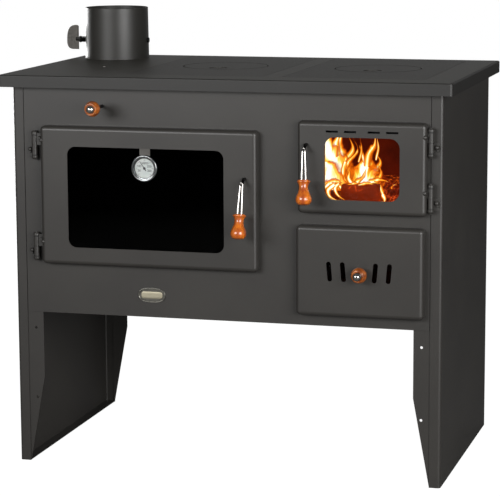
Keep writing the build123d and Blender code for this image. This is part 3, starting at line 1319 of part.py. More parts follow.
brick_low = shelf_low + FIREBOX_SHEET
brick_front = SHEET + REST_GAP + CAM_THICKNESS + REST_GAP
left_brick_right = shell.left + FIREBOX_SIDE
right_brick_left = shell.right - FIREBOX_SIDE
brick_back = shell.high - FIREBOX_SIDE
with BuildPart() as firebricks:
    with BuildSketch(FLOOR.offset(brick_low)):
        plate(Area(shell.left, left_brick_right, brick_front, shell.high))
        plate(Area(right_brick_left, shell.right, brick_front, shell.high))
        back_left = left_brick_right + BRICK_JOINT
        back_right = right_brick_left - BRICK_JOINT
        plate(Area(back_left, back_right, brick_back, shell.high))
    extrude(amount=BRICK_HEIGHT)

with BuildPart() as grate:
    with BuildSketch(FLOOR.offset(brick_low)):
        with Locations(grate_mid):
            Rectangle(GRATE_WIDTH + 2 * GRATE_LAP, grate_length + 2 * GRATE_LAP)
    extrude(amount=GRATE_THICKNESS / 2)
    with BuildSketch(FLOOR.offset(brick_low)):
        with Locations(grate_mid):
            Rectangle(GRATE_WIDTH - 2 * GRATE_PLAY, grate_length - 2 * GRATE_PLAY)
    extrude(amount=-GRATE_THICKNESS / 2)
    with BuildSketch(FLOOR.offset(brick_low + GRATE_THICKNESS)):
        with Locations(grate_mid):
            slot_pitch = (GRATE_WIDTH - GRATE_LAP) / GRATE_BAR_COUNT
            with GridLocations(slot_pitch, grate_length / 2, GRATE_BAR_COUNT, 2):
                Rectangle(GRATE_SLOT, grate_length / 2 - 2 * GRATE_LAP)
    extrude(amount=-3 * GRATE_THICKNESS, mode=Mode.SUBTRACT)

with BuildPart() as ash_pan:
    with BuildSketch(FLOOR.offset(pan_low)):
        plate(pan_area)
    extrude(amount=ASH_PAN_HEIGHT)
    offset(amount=-ASH_PAN_SHEET, openings=ash_pan.faces().sort_by(Axis.Z)[-1])

ash_drawer_front = make_door_panel(drawer, None, 0)
with ash_drawer_front:
    slot_height = drawer.high - DRAWER_SLOT_DROP
    for pair in (-1, 1):
        for one in (-1, 1):
            slot_x = drawer_middle + pair * DRAWER_PAIR_SPACING / 2 + one * DRAWER_SLOT_PITCH / 2
            with BuildSketch(FRONT.offset(door_face)) as air_slot:
                with Locations(Location((slot_x, slot_height, 0), (0, 0, 90 - pair * DRAWER_SLOT_LEAN))):
                    SlotOverall(DRAWER_SLOT_HEIGHT, DRAWER_SLOT_WIDTH)
            extrude(air_slot.sketch, amount=-2 * SHEET, mode=Mode.SUBTRACT)
    hole_through_door(drawer_knob_at, KNOB_SCREW_RADIUS, 2 * SHEET)

# ================================================================ every finished piece
pieces = {
    "side_panel_left": side_panel_left,
    "side_panel_right": side_panel_right,
    "front_panel": front_panel,
    "rear_panel": rear_panel,
    "base_panel": base_panel,
    "casing_screws": casing_screws,
    "badge": badge,
    "top_apron": top_apron,
    "top_plate": top_plate,
    "hob_plate_left": hob_plate_left,
    "hob_plate_right": hob_plate_right,
    "hob_lid_left": hob_lid_left,
    "hob_lid_right": hob_lid_right,
    "flue_collar": flue_collar,
    "damper_spindle": damper_spindle,
    "damper_disc": damper_disc,
    "damper_handle": damper_handle,
    "damper_spring": damper_spring,
    "oven_door_panel": oven_door_panel,
    "oven_door_liner": oven_door_liner,
    "oven_door_glass": oven_door_glass,
    "oven_door_seal": oven_door_seal,
    "oven_door_studs": oven_door_studs,
    "oven_door_knuckles": oven_door_knuckles,
    "oven_door_latch": oven_door_latch,
    "oven_handle_wire": oven_handle_wire,
    "oven_handle_grip": oven_handle_grip,
    "thermometer_strap": thermometer_strap,
    "thermometer_case": thermometer_case,
    "thermometer_dial": thermometer_dial,
    "thermometer_glass": thermometer_glass,
    "thermometer_needle": thermometer_needle,
    "fire_door_panel": fire_door_panel,
    "fire_door_liner": fire_door_liner,
    "fire_door_glass": fire_door_glass,
    "fire_door_seal": fire_door_seal,
    "fire_door_studs": fire_door_studs,
    "fire_door_knuckles": fire_door_knuckles,
    "fire_door_latch": fire_door_latch,
    "fire_handle_wire": fire_handle_wire,
    "fire_handle_grip": fire_handle_grip,
    "hinge_leaves": hinge_leaves,
    "hinge_pins": hinge_pins,
    "bypass_rod": bypass_rod,
    "bypass_shutter": bypass_shutter,
    "bypass_bush": bypass_bush,
    "bypass_knob": bypass_knob,
    "bypass_knob_screw": bypass_knob_screw,
    "smoke_baffle": smoke_baffle,
    "flueway_floor": flueway_floor,
    "oven_box": oven_box,
    "oven_rack": oven_rack,
    "firebox_shell": firebox_shell,
    "firebricks": firebricks,
    "grate": grate,
    "ash_pan": ash_pan,
    "ash_drawer_front": ash_drawer_front,
    "ash_knob": ash_knob,
    "ash_knob_screw": ash_knob_screw,
}

os.makedirs("parts", exist_ok=True)
for name, piece in pieces.items():
    piece.part.label = name
    export_step(piece.part, f"parts/{name}.step")
print(len(pieces), "pieces, body at", round(BODY_X, 2), round(FRONT_Y, 2))
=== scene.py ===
import bpy
import numpy as np
from mathutils import Matrix, Vector


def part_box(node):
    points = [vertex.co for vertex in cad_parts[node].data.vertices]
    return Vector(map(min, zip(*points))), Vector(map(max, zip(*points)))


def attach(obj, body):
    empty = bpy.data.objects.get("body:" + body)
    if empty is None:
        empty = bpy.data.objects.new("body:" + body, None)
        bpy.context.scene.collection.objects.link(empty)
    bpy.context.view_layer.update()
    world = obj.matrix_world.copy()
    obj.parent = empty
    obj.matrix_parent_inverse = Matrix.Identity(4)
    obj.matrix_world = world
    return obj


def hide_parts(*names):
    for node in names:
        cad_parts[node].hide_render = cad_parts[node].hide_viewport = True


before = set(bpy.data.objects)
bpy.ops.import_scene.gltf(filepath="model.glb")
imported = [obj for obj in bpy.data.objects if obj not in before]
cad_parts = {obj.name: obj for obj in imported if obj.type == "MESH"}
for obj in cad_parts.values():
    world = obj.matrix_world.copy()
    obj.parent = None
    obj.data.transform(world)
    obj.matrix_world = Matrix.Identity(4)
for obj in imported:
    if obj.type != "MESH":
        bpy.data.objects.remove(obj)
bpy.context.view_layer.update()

# Millimetres in this script's own numbers, metres in the meshes. +X right, +Y back, +Z up.
MM = 0.001
TAU = 2 * np.pi
FORWARDS = (0, -1, 0)        # out of the stove's front
UPWARDS = (0, 0, 1)


def span(node):
    """The lowest and highest corner of a CAD piece, in millimetres."""
    low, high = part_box(node)
    return np.array(low) / MM, np.array(high) / MM


# ---------------------------------------------------------------- nodes and colours
def shade(code):
    """An sRGB hex colour as linear red, green, blue and 1."""
    channels = np.array([int(code[i:i + 2], 16) for i in (1, 3, 5)]) / 255
    linear = np.where(channels <= 0.04045, channels / 12.92, ((channels + 0.055) / 1.055) ** 2.4)
    return (*linear.tolist(), 1.0)


def per(size):
    """The pattern scale whose features are about this many millimetres wide."""
    return 1 / (size * MM)


def add(tree, kind, inputs=(), **settings):
    """Adds a shader node. Its inputs, by name or in order, are numbers, colours, outputs, or nodes whose first
    output it takes.

    A Mix of colours takes its share at input 0 and its colours at 6 and 7, and gives one at output 2. A Map
    Range takes a value, the range that it comes from and the range that it goes to.
    """
    made = tree.nodes.new("ShaderNode" + kind)
    for key, value in settings.items():
        setattr(made, key, value)
    for key, value in (inputs.items() if isinstance(inputs, dict) else enumerate(inputs)):
        if isinstance(value, bpy.types.Node):
            value = value.outputs[0]
        if isinstance(value, bpy.types.NodeSocket):
            tree.links.new(value, made.inputs[key])
        else:
            made.inputs[key].default_value = value
    return made


def material(name, finish, **choices):
    """A material whose finish works out the shader's inputs from the object's own coordinates."""
    made = bpy.data.materials.new(name)
    made.use_nodes = True
    tree = made.node_tree
    tree.nodes.clear()
    place = add(tree, "TexCoord").outputs["Object"]
    shader = add(tree, "BsdfPrincipled", finish(tree, place, **choices))
    add(tree, "OutputMaterial", {"Surface": shader})
    return made


# ---------------------------------------------------------------- finishes
def stoved_paint(tree, place, light, dark, grit, relief, rough):
    """Silicone heat paint, sprayed on steel and stoved: matt, faintly clouded, with a fine dry grit."""
    cloud = add(tree, "TexNoise", {"Vector": place, "Scale": per(170), "Detail": 3.0})
    grain = add(tree, "TexNoise", {"Vector": place, "Scale": per(grit), "Detail": 2.0})
    share = add(tree, "MapRange", (cloud, 0.3, 0.7, 0.0, 1.0))
    colour = add(tree, "Mix", {0: share, 6: shade(dark), 7: shade(light)}, data_type="RGBA").outputs[2]
    fleck = add(tree, "MapRange", (grain, 0.62, 0.75, 0.0, 0.25))
    return {
        "Base Color": add(tree, "Mix", {0: fleck, 6: colour, 7: shade("#6A6762")}, data_type="RGBA").outputs[2],
        "Roughness": add(tree, "MapRange", (grain, 0.3, 0.7, rough - 0.05, rough + 0.07)),
        "Specular IOR Level": 0.5,
        "Normal": add(tree, "Bump", {"Strength": relief, "Distance": 0.05 * MM, "Height": grain}),
    }


def turned_beech(tree, place, grain_along, pale, deep):
    """Turned beech, stained orange and dipped in clear lacquer: fine fibres under a wet gloss."""
    along = add(tree, "Mapping", {"Vector": place, "Scale": grain_along})
    fibre = add(tree, "TexNoise", {"Vector": along, "Scale": per(1.6), "Detail": 4.0})
    figure = add(tree, "TexNoise", {"Vector": along, "Scale": per(9), "Detail": 2.0})
    share = add(tree, "MapRange", (figure, 0.35, 0.65, 0.0, 1.0))
    warm = add(tree, "Mix", {0: share, 6: shade(deep), 7: shade(pale)}, data_type="RGBA").outputs[2]
    streak = add(tree, "MapRange", (fibre, 0.45, 0.75, 0.0, 0.75))
    return {
        "Base Color": add(tree, "Mix", {0: streak, 6: warm, 7: shade("#7A3006")}, data_type="RGBA").outputs[2],
        "Roughness": 0.38,
        "Coat Weight": 1.0,
        "Coat Roughness": 0.04,
        "Normal": add(tree, "Bump", {"Strength": 0.15, "Distance": 0.05 * MM, "Height": fibre}),
    }


def bare_metal(tree, place, light, dark, rough, scratch, stretch, strength=0.12):
    """Bare metal: brushed, plated or rolled, with marks that run along one direction."""
    along = add(tree, "Mapping", {"Vector": place, "Scale": stretch})
    marks = add(tree, "TexNoise", {"Vector": along, "Scale": per(scratch), "Detail": 3.0})
    stain = add(tree, "TexNoise", {"Vector": place, "Scale": per(30), "Detail": 2.0})
    return {
        "Base Color": add(tree, "Mix", {0: stain, 6: shade(dark), 7: shade(light)}, data_type="RGBA").outputs[2],
        "Roughness": add(tree, "MapRange", (marks, 0.3, 0.7, rough * 0.75, rough * 1.25)),
        "Metallic": 1.0,
        "Normal": add(tree, "Bump", {"Strength": strength, "Distance": 0.03 * MM, "Height": marks}),
    }


def galvanised_sheet(tree, place):
    """Hot-dip galvanised sheet: flat zinc crystals of differing grey, about a centimetre wide."""
    spangle = add(tree, "TexVoronoi", {"Vector": place, "Scale": per(11)})
    tone = add(tree, "SeparateColor", {"Color": spangle.outputs["Color"]})
    return {
        "Base Color": add(tree, "Mix", {0: tone, 6: shade("#6E7274"), 7: shade("#8E9294")},
                          data_type="RGBA").outputs[2],
        "Roughness": add(tree, "MapRange", (tone, 0.0, 1.0, 0.28, 0.5)),
        "Metallic": 0.9,
    }


def vitreous_enamel(tree, place):
    """Black vitreous enamel, fired on the oven's sheet: glossy, with fine pale specks."""
    speck = add(tree, "TexVoronoi", {"Vector": place, "Scale": per(5)})
    dot = add(tree, "MapRange", (speck, 0.08, 0.14, 1.0, 0.0))
    peel = add(tree, "TexNoise", {"Vector": place, "Scale": per(6), "Detail": 1.0})
    return {
        "Base Color": add(tree, "Mix", {0: dot, 6: shade("#131416"), 7: shade("#4B4E52")},
                          data_type="RGBA").outputs[2],
        "Roughness": 0.18,
        "Normal": add(tree, "Bump", {"Strength": 0.1, "Distance": 0.1 * MM, "Height": peel}),
    }


def clear_pane(tree, place, tint, index):
    """A pane of glass, faintly hazed in places: the tint is what one surface lets through."""
    haze = add(tree, "TexNoise", {"Vector": place, "Scale": per(60), "Detail": 2.0})
    return {
        "Base Color": shade(tint),
        "Roughness": add(tree, "MapRange", (haze, 0.3, 0.7, 0.0, 0.02)),
        "IOR": index,
        "Transmission Weight": 1.0,
    }


def fired_clay_with_painted_firelight(tree, place):
    """Pressed and fired chamotte: sandy, porous and sooted, with a faint red glow that paints the fire's light on it.
    """
    sand = add(tree, "TexNoise", {"Vector": place, "Scale": per(2.5), "Detail": 3.0})
    soot = add(tree, "TexNoise", {"Vector": place, "Scale": per(70), "Detail": 4.0})
    warm = add(tree, "Mix", {0: sand, 6: shade("#6B2C14"), 7: shade("#9A4A24")}, data_type="RGBA").outputs[2]
    black = add(tree, "MapRange", (soot, 0.42, 0.62, 0.0, 0.85))
    return {
        "Base Color": add(tree, "Mix", {0: black, 6: warm, 7: shade("#1C0B06")}, data_type="RGBA").outputs[2],
        "Roughness": 0.9,
        # Painted firelight: a faint red glow over the whole lining.
        "Emission Color": shade("#8A2408"),
        "Emission Strength": 0.16,
        "Normal": add(tree, "Bump", {"Strength": 0.6, "Distance": 0.4 * MM, "Height": sand}),
    }


def burning_wood(tree, place, char, hot, size, share, warmth=0.12, spark="#FFB52E"):
    """Split firewood, charred black between cracks that glow, with a dull glow over the whole: on coals and embers
    their own heat, on logs painted firelight.

    A crack glows only where a cloudy patch is bright enough, and the share is how much of the wood that is.
    """
    crack = add(tree, "TexVoronoi", {"Vector": place, "Scale": per(size)}, feature="DISTANCE_TO_EDGE")
    patch = add(tree, "TexNoise", {"Vector": place, "Scale": per(size * 2.2), "Detail": 4.0})
    line = add(tree, "MapRange", (crack, 0.0, 0.12, 1.0, 0.0))
    area = add(tree, "MapRange", (patch, 0.62 - share, 0.72 - share, 0.0, 1.0))
    glow = add(tree, "Math", (line, area), operation="MULTIPLY")
    # Painted firelight: a dim glow over all the wood; on coals and embers it is their own heat, on logs it stands for
    # the fire's light on them.
    glow_and_painted_firelight = add(tree, "MapRange", (patch, 0.4, 0.8, warmth, warmth + 0.4))
    return {
        "Base Color": add(tree, "Mix", {0: patch, 6: shade("#140805"), 7: shade(char)}, data_type="RGBA").outputs[2],
        "Roughness": 0.85,
        "Specular IOR Level": 0.1,
        "Emission Color": add(tree, "Mix", {0: glow, 6: shade(hot), 7: shade(spark)}, data_type="RGBA").outputs[2],
        "Emission Strength": add(tree, "Math", (glow, glow_and_painted_firelight), operation="ADD"),
        "Normal": add(tree, "Bump", {"Strength": 0.7, "Distance": 1.0 * MM, "Height": crack}),
    }


def flame_light(tree, place, core):
    """Burning gas: white-yellow in the middle of a tongue, orange further out, clear at its ragged edge.

    Its heat is core + a rising noise - 0.42 - 1.25 x the distance from the middle line - 0.32 x the height,
    with width and height as shares of the tongue.
    """
    across, along, _ = add(tree, "SeparateXYZ", (add(tree, "UVMap"),)).outputs
    off = add(tree, "Math", (across, 0.5), operation="SUBTRACT")
    side = add(tree, "Math", (off,), operation="ABSOLUTE")
    rise = add(tree, "Mapping", {"Vector": place, "Scale": (1.0, 1.0, 0.35)})
    lick = add(tree, "TexNoise", {"Vector": rise, "Scale": per(16), "Detail": 3.0, "Distortion": 0.8})
    ragged = add(tree, "Math", (lick, core - 0.42), operation="ADD")
    width = add(tree, "Math", (side, 1.25), operation="MULTIPLY")
    heat = add(tree, "Math", (ragged, width), operation="SUBTRACT")
    fade = add(tree, "Math", (along, 0.32), operation="MULTIPLY")
    heat = add(tree, "Math", (heat, fade), operation="SUBTRACT")
    colour = shade("#8A1C02")
    for begin, end, hotter in ((-0.22, 0.0, "#F2700A"), (0.0, 0.16, "#FFCE3E"), (0.14, 0.32, "#FFFBE4")):
        share = add(tree, "MapRange", (heat, begin, end, 0.0, 1.0))
        colour = add(tree, "Mix", {0: share, 6: colour, 7: shade(hotter)}, data_type="RGBA").outputs[2]
    return {
        "Base Color": shade("#000000"),
        "Specular IOR Level": 0.0,
        "Emission Color": colour,
        "Emission Strength": add(tree, "MapRange", (heat, -0.2, 0.3, 0.9, 1.5)),
        "Alpha": add(tree, "MapRange", (heat, -0.28, -0.08, 0.0, 0.97)),
    }


def glass_rope(tree, place):
    """Glass-fibre rope, pressed flat and greyed by heat: fine pale yarns with brown stains."""
    yarn = add(tree, "TexNoise", {"Vector": place, "Scale": per(0.7), "Detail": 2.0})
    stain = add(tree, "TexNoise", {"Vector": place, "Scale": per(25), "Detail": 3.0})
    pale = add(tree, "Mix", {0: yarn, 6: shade("#5D5850"), 7: shade("#8C867A")}, data_type="RGBA").outputs[2]
    share = add(tree, "MapRange", (stain, 0.45, 0.7, 0.0, 0.7))
    return {
        "Base Color": add(tree, "Mix", {0: share, 6: pale, 7: shade("#2E2A26")}, data_type="RGBA").outputs[2],
        "Roughness": 0.95,
        "Normal": add(tree, "Bump", {"Strength": 0.5, "Distance": 0.2 * MM, "Height": yarn}),
    }


def printed_face(tree, place, code, rough):
    """Printed or painted sheet of one colour, faintly uneven."""
    tone = add(tree, "TexNoise", {"Vector": place, "Scale": per(8), "Detail": 2.0})
    share = add(tree, "MapRange", (tone, 0.2, 0.8, 0.0, 0.12))
    return {
        "Base Color": add(tree, "Mix", {0: share, 6: shade(code), 7: shade("#8E8B86")}, data_type="RGBA").outputs[2],
        "Roughness": add(tree, "MapRange", (tone, 0.3, 0.7, rough, rough + 0.08)),
    }


# Heat paint: an even charcoal on folded sheet, smoother over the pressings' rolled edges, faintly olive on the hob,
# and coarser over the grain that a sand mould leaves on iron. The apron's copy of the hob's graphite is darker: painted
# shade.
casing = material("stoved_silicone_paint", stoved_paint,
                  light="#302E2B", dark="#2A2826", grit=0.8, relief=0.30, rough=0.42)
door_paint = material("stoved_silicone_paint_on_pressings", stoved_paint,
                      light="#32302D", dark="#2C2A28", grit=0.8, relief=0.28, rough=0.38)
# The apron: the hob's graphite paint made darker, as painted shade on its face.
apron_paint_with_painted_shade = material("stoved_graphite_paint_darkened_as_shade", stoved_paint,
                       light="#1E1D1B", dark="#191816", grit=1.0, relief=0.35, rough=0.5)
hob_paint = material("stoved_graphite_paint_on_hob", stoved_paint,
                     light="#37352D", dark="#312F28", grit=1.0, relief=0.4, rough=0.5)
iron = material("painted_sand_cast_iron", stoved_paint,
                light="#2F2D27", dark="#282620", grit=1.7, relief=0.55, rough=0.52)
# Near black, the hinges' grooves: painted shade of the joint where a knuckle meets its ball.
painted_shade_groove = material("near_black_painted_groove_shade", stoved_paint,
                        light="#0C0B0B", dark="#080808", grit=0.8, relief=0.3, rough=0.7)
flue_paint = material("stoved_paint_on_rolled_collar", stoved_paint,
                      light="#2B2A27", dark="#262522", grit=0.9, relief=0.30, rough=0.42)

# Lacquered beech: long grain down the grips, and the knobs turned with it end on, so they look browner.
beech_upright = material("lacquered_turned_beech_upright", turned_beech,
                         grain_along=(1.0, 1.0, 0.12), pale="#DC7412", deep="#A04206")
beech_level = material("lacquered_turned_beech_level", turned_beech,
                       grain_along=(1.0, 0.12, 1.0), pale="#BE6610", deep="#7E3C0A")

# Metals: mirror-bright plating on wires and screws, lathe rings on the bezel, soft brushing on the strap, a
# dull blue-black oxide on rods, a grainy grey leaf on the damper, and blank badge metal brushed lengthwise.
chrome = material("chrome_plated_steel", bare_metal,
                  light="#CDC9C4", dark="#BDB9B4", rough=0.07, scratch=4, stretch=(1.0, 1.0, 1.0), strength=0.02)
bezel = material("turned_stainless_steel", bare_metal,
                 light="#8A8C8D", dark="#747677", rough=0.22, scratch=1.2, stretch=(1.0, 0.2, 1.0))
strap_metal = material("brushed_dark_strap_steel", bare_metal,
                       light="#5E5C59", dark="#4A4846", rough=0.45, scratch=1.2, stretch=(1.0, 1.0, 0.2))
rolled = material("rolled_mild_steel", bare_metal,
                  light="#6E6C69", dark="#54524F", rough=0.42, scratch=2.0, stretch=(0.2, 1.0, 1.0))
blued = material("black_oxide_steel", bare_metal,
                 light="#2B2A29", dark="#1B1B1B", rough=0.38, scratch=1.5, stretch=(1.0, 1.0, 0.3))
damper_metal = material("sand_cast_damper_leaf", bare_metal,
                        light="#5E5B58", dark="#4C4A47", rough=0.55, scratch=1.4, stretch=(1.0, 1.0, 0.4))
badge_plate = material("brushed_pale_badge_metal", bare_metal,
                       light="#C4BDA6", dark="#ABA48F", rough=0.5, scratch=1.0, stretch=(0.15, 1.0, 1.0),
                       strength=0.5)
badge_rim = material("cast_badge_rim", bare_metal,
                     light="#8A8880", dark="#6E6C66", rough=0.35, scratch=2.0, stretch=(1.0, 1.0, 1.0))

# Sheet and lining: spangled zinc in the ash pan, speckled gloss in the oven, sandy red brick round the fire, lit by a
# painted red glow.
zinc = material("hot_dip_galvanised_sheet", galvanised_sheet)
enamel = material("black_vitreous_enamel", vitreous_enamel)
brick = material("fired_chamotte_with_painted_firelight", fired_clay_with_painted_firelight)
rope = material("woven_glass_rope", glass_rope)

# Glass: the oven's pane is smoked nearly black, the fire's and the thermometer's let everything through.
smoked = material("dark_ceramic_glass", clear_pane, tint="#3A3A3C", index=1.13)
clear = material("clear_ceramic_glass", clear_pane, tint="#FFFFFF", index=1.3)
lens = material("thermometer_window_glass", clear_pane, tint="#FFFFFF", index=1.4)

# The thermometer's face: soft white enamel with flat black print, whose black also paints the bezel's shadow ring.
dial_white = material("white_enamelled_dial", printed_face, code="#C9CFCC", rough=0.4)
print_black = material("black_dial_print", printed_face, code="#1A1A1C", rough=0.5)

# The fire: black charred bark, a log's face dark red with painted firelight, crumbling red coals, and two heats of
# flame.
char = material("charred_split_log", burning_wood, char="#3A140A", hot="#A62A08", size=13, share=0.08)
# The front log's face takes the strongest painted firelight, a glow over all of it.
painted_firelit_log = material("log_face_with_painted_firelight", burning_wood,
                   char="#3A1006", hot="#AE3206", size=15, share=0.06, warmth=0.3, spark="#D8500F")
coals = material("red_coals", burning_wood,
                 char="#3E1006", hot="#B02C08", size=6, share=0.14, warmth=0.14, spark="#E0561E")
ember = material("glowing_embers", burning_wood,
                 char="#3E1208", hot="#B8300A", size=7, share=0.16, warmth=0.12, spark="#EE7018")
bright_flame = material("white_hot_flame", flame_light, core=0.46)
flame = material("orange_flame", flame_light, core=0.29)

finishes = {
    casing: ["side_panel_left", "side_panel_right", "front_panel", "rear_panel", "base_panel", "hinge_leaves",
             "hinge_pins", "oven_door_knuckles", "fire_door_knuckles"],
    apron_paint_with_painted_shade: ["top_apron"],
    hob_paint: ["top_plate"],
    door_paint: ["oven_door_panel", "fire_door_panel", "ash_drawer_front"],
    iron: ["hob_plate_left", "hob_plate_right", "hob_lid_left", "hob_lid_right", "grate"],
    flue_paint: ["flue_collar"],
    beech_upright: ["oven_handle_grip", "fire_handle_grip"],
    beech_level: ["bypass_knob", "ash_knob"],
    chrome: ["oven_handle_wire", "fire_handle_wire", "bypass_knob_screw", "ash_knob_screw", "oven_rack"],
    bezel: ["thermometer_case"],
    rolled: ["casing_screws", "oven_door_studs", "fire_door_studs", "bypass_bush", "bypass_shutter",
             "smoke_baffle", "flueway_floor", "firebox_shell", "damper_disc"],
    strap_metal: ["thermometer_strap"],
    blued: ["oven_door_latch", "fire_door_latch", "bypass_rod", "damper_spindle", "damper_spring"],
    damper_metal: ["damper_handle"],
    zinc: ["ash_pan"],
    enamel: ["oven_box", "oven_door_liner", "fire_door_liner"],
    smoked: ["oven_door_glass"],
    clear: ["fire_door_glass"],
    lens: ["thermometer_glass"],
    brick: ["firebricks"],
    rope: ["oven_door_seal", "fire_door_seal"],
    dial_white: ["thermometer_dial"],
    print_black: ["thermometer_needle"],
    badge_rim: ["badge"],
}
for finish, names in finishes.items():
    for name in names:
        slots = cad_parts[name].data.materials
        slots.clear()
        slots.append(finish)


# ---------------------------------------------------------------- shapes
def skin(name, rows, finish, body, wrap=True, ends="", crease=40.0, printed=False):
    """A piece whose surface is a grid of points, rows x columns x 3, in millimetres.

    Neighbouring points are joined by four-sided faces. With wrap the columns join up round the piece. Ends
    is "points" to close the first and last row each to its middle, "loop" to join them to each other. The
    faces turn over if the volume under them, a sum of a . (b x c) over their triangles, comes out negative.
    """
    rows = np.asarray(rows, float)
    count, across = rows.shape[:2]
    points = rows.reshape(-1, 3)
    high = np.arange(count if ends == "loop" else count - 1)
    wide = np.arange(across if wrap else across - 1)
    row, column = (part.ravel() for part in np.meshgrid(high, wide, indexing="ij"))
    below, above = row * across, (row + 1) % count * across
    beside = (column + 1) % across
    squares = np.stack([below + column, below + beside, above + beside, above + column], 1)
    fans = np.empty((0, 3), int)
    if ends == "points":
        points = np.vstack([points, rows[0].mean(0), rows[-1].mean(0)])
        after, last_row = (wide + 1) % across, (count - 1) * across
        fans = np.vstack([np.stack([after, wide, np.full(len(wide), count * across)], 1),
                          np.stack([last_row + wide, last_row + after, np.full(len(wide), count * across + 1)], 1)])
    a, b, c = points[np.vstack([squares[:, :3], squares[:, [0, 2, 3]], fans])].swapaxes(0, 1)
    if (a * np.cross(b, c)).sum() < 0:
        squares, fans = squares[:, ::-1], fans[:, ::-1]
    mesh = bpy.data.meshes.new(name)
    mesh.from_pydata((points * MM).tolist(), [], squares.tolist() + fans.tolist())
    if printed:
        corner = np.empty(len(mesh.loops), dtype=np.int32)
        mesh.loops.foreach_get("vertex_index", corner)
        place = np.stack([corner % across / (across - 1), corner // across / (count - 1)], 1)
        mesh.uv_layers.new(name="along").data.foreach_set("uv", place.ravel().astype(np.float32))
    mesh.shade_smooth()
    mesh.set_sharp_from_angle(angle=np.radians(crease))
    mesh.materials.append(finish)
    made = bpy.data.objects.new(name, mesh)
    bpy.context.scene.collection.objects.link(made)
    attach(made, body)
    return made


def arc(radius, middle, begin, end, steps):
    """Points of a round arc in a plane, angles in degrees: middle + radius (cos a, sin a)."""
    turn = np.radians(np.linspace(begin, end, steps))
    return np.stack([middle[0] + radius * np.cos(turn), middle[1] + radius * np.sin(turn)], 1)


def curve_through(points, steps):
    """A smooth curve through a few points: between two of them, the cubic that passes both in line with
    their neighbours."""
    p = np.asarray(points, float)
    p = np.vstack([2 * p[0] - p[1], p, 2 * p[-1] - p[-2]])
    t = np.linspace(0, 1, steps, endpoint=False)[:, None, None]
    a, b, c, d = p[:-3], p[1:-2], p[2:-1], p[3:]
    line = 0.5 * (2 * b + (c - a) * t + (2 * a - 5 * b + 4 * c - d) * t**2 + (3 * b - a - 3 * c + d) * t**3)
    return np.vstack([line.transpose(1, 0, 2).reshape(-1, p.shape[1]), p[-2]])


def turned(profile, foot, up, steps):
    """A profile of (radius, height) pairs turned round an axis: foot + height up + radius (cos a side + sin a over)."""
    up = np.asarray(up, float) / np.linalg.norm(up)
    side = np.cross(up, (0.3, 0.5, 0.8))
    side /= np.linalg.norm(side)
    over = np.cross(up, side)
    turn = np.linspace(0, TAU, steps, endpoint=False)
    ring = np.cos(turn)[:, None] * side + np.sin(turn)[:, None] * over
    profile = np.asarray(profile, float)
    return np.asarray(foot, float) + profile[:, 1, None, None] * up + profile[:, 0, None, None] * ring


def carried(section, path, facing):
    """A flat section carried along a path: path + across (tangent x facing) + out (facing made square to it)."""
    path = np.asarray(path, float)
    tangent = np.gradient(path, axis=0)
    tangent /= np.linalg.norm(tangent, axis=1, keepdims=True)
    across = np.cross(tangent, facing)
    across /= np.linalg.norm(across, axis=1, keepdims=True)
    out = np.cross(across, tangent)
    section = np.asarray(section, float)
    if section.ndim == 2:
        section = np.repeat(section[None], len(path), 0)
    return path[:, None] + section[..., :1] * across[:, None] + section[..., 1:] * out[:, None]


def ring_of(radius, steps):
    """A round section: a circle whose last point comes just before its first."""
    return arc(radius, (0, 0), 0, 360 - 360 / steps, steps)


def round_loop(area, corner):
    """The outline of a rectangle with round corners, (x, z) pairs, anticlockwise from the right side.

    Each corner is a quarter circle of 8 points, and 6 points at equal steps fill each side, at every size.
    """
    left, right, low, high = area
    middles = ((right, high, -1, -1, 0), (left, high, 1, -1, 90), (left, low, 1, 1, 180), (right, low, -1, 1, 270))
    corners = [arc(corner, (x + a * corner, z + b * corner), turn, turn + 90, 8) for x, z, a, b, turn in middles]
    stretch = np.linspace(0, 1, 8)[1:-1, None]
    parts = []
    for here, following in zip(corners, corners[1:] + corners[:1]):
        parts += [here, here[-1] + (following[0] - here[-1]) * stretch]
    return np.vstack(parts)


side_low = span("side_panel_left")[0]
side_high = span("side_panel_right")[1]
BODY = np.array([(side_low[0] + side_high[0]) / 2, side_low[1], 0.0])     # floor under the body's front, middle
EYE = BODY + (1180.1, -4035.9, 1165.8)                                    # where the photograph was taken from

# ---------------------------------------------------------------- turned handles and knobs
WIRE = 1.4                   # radius
WIRE_REACH = 62.0            # grip's rim to the top of the wire
WIRE_SINK = 8.0              # how far a leg goes into the grip
LEG_SPREAD = 4.4             # half the distance between the legs at the grip
BEND_HALF, BEND_HIGH = 2.4, 2.2                                           # half an ellipse joins the legs
LEAN = 14.5                  # degrees that a grip hangs out from its door
SWAY = {"oven": 0.0, "fire": 3.5}                                         # degrees that it hangs to the right
GRIP_HALF = 24.0             # grip's rim to its middle
GRIP_PROFILE = [(0.5, -0.2), (9.0, -0.1), (11.6, 0.0), (12.6, 1.2), (12.9, 2.8), (12.3, 4.4), (11.0, 5.4), (9.6, 8.5),
                (8.9, 13.0), (9.4, 18.0), (11.2, 23.5), (13.4, 28.5), (15.0, 33.0), (15.5, 36.5), (15.2, 40.0),
                (13.6, 43.6), (10.6, 46.6), (5.5, 47.9), (0.5, 48.2)]
KNOB_BACK = np.vstack([[(0.3, -15.2), (6.8, -15.0)], arc(15.5, (0, 0), -60, 38, 18)])
KNOB_FACE = [(12.4, 10.0), (11.8, 11.2), (10.8, 11.7), (9.8, 11.3), (9.2, 10.3), (8.6, 9.9), (0.3, 9.9)]
SCREW_FOOT = [(0.3, 6.0), (8.0, 6.0)]
SCREW_DOME = 8.5             # radius of a knob's chromed screw


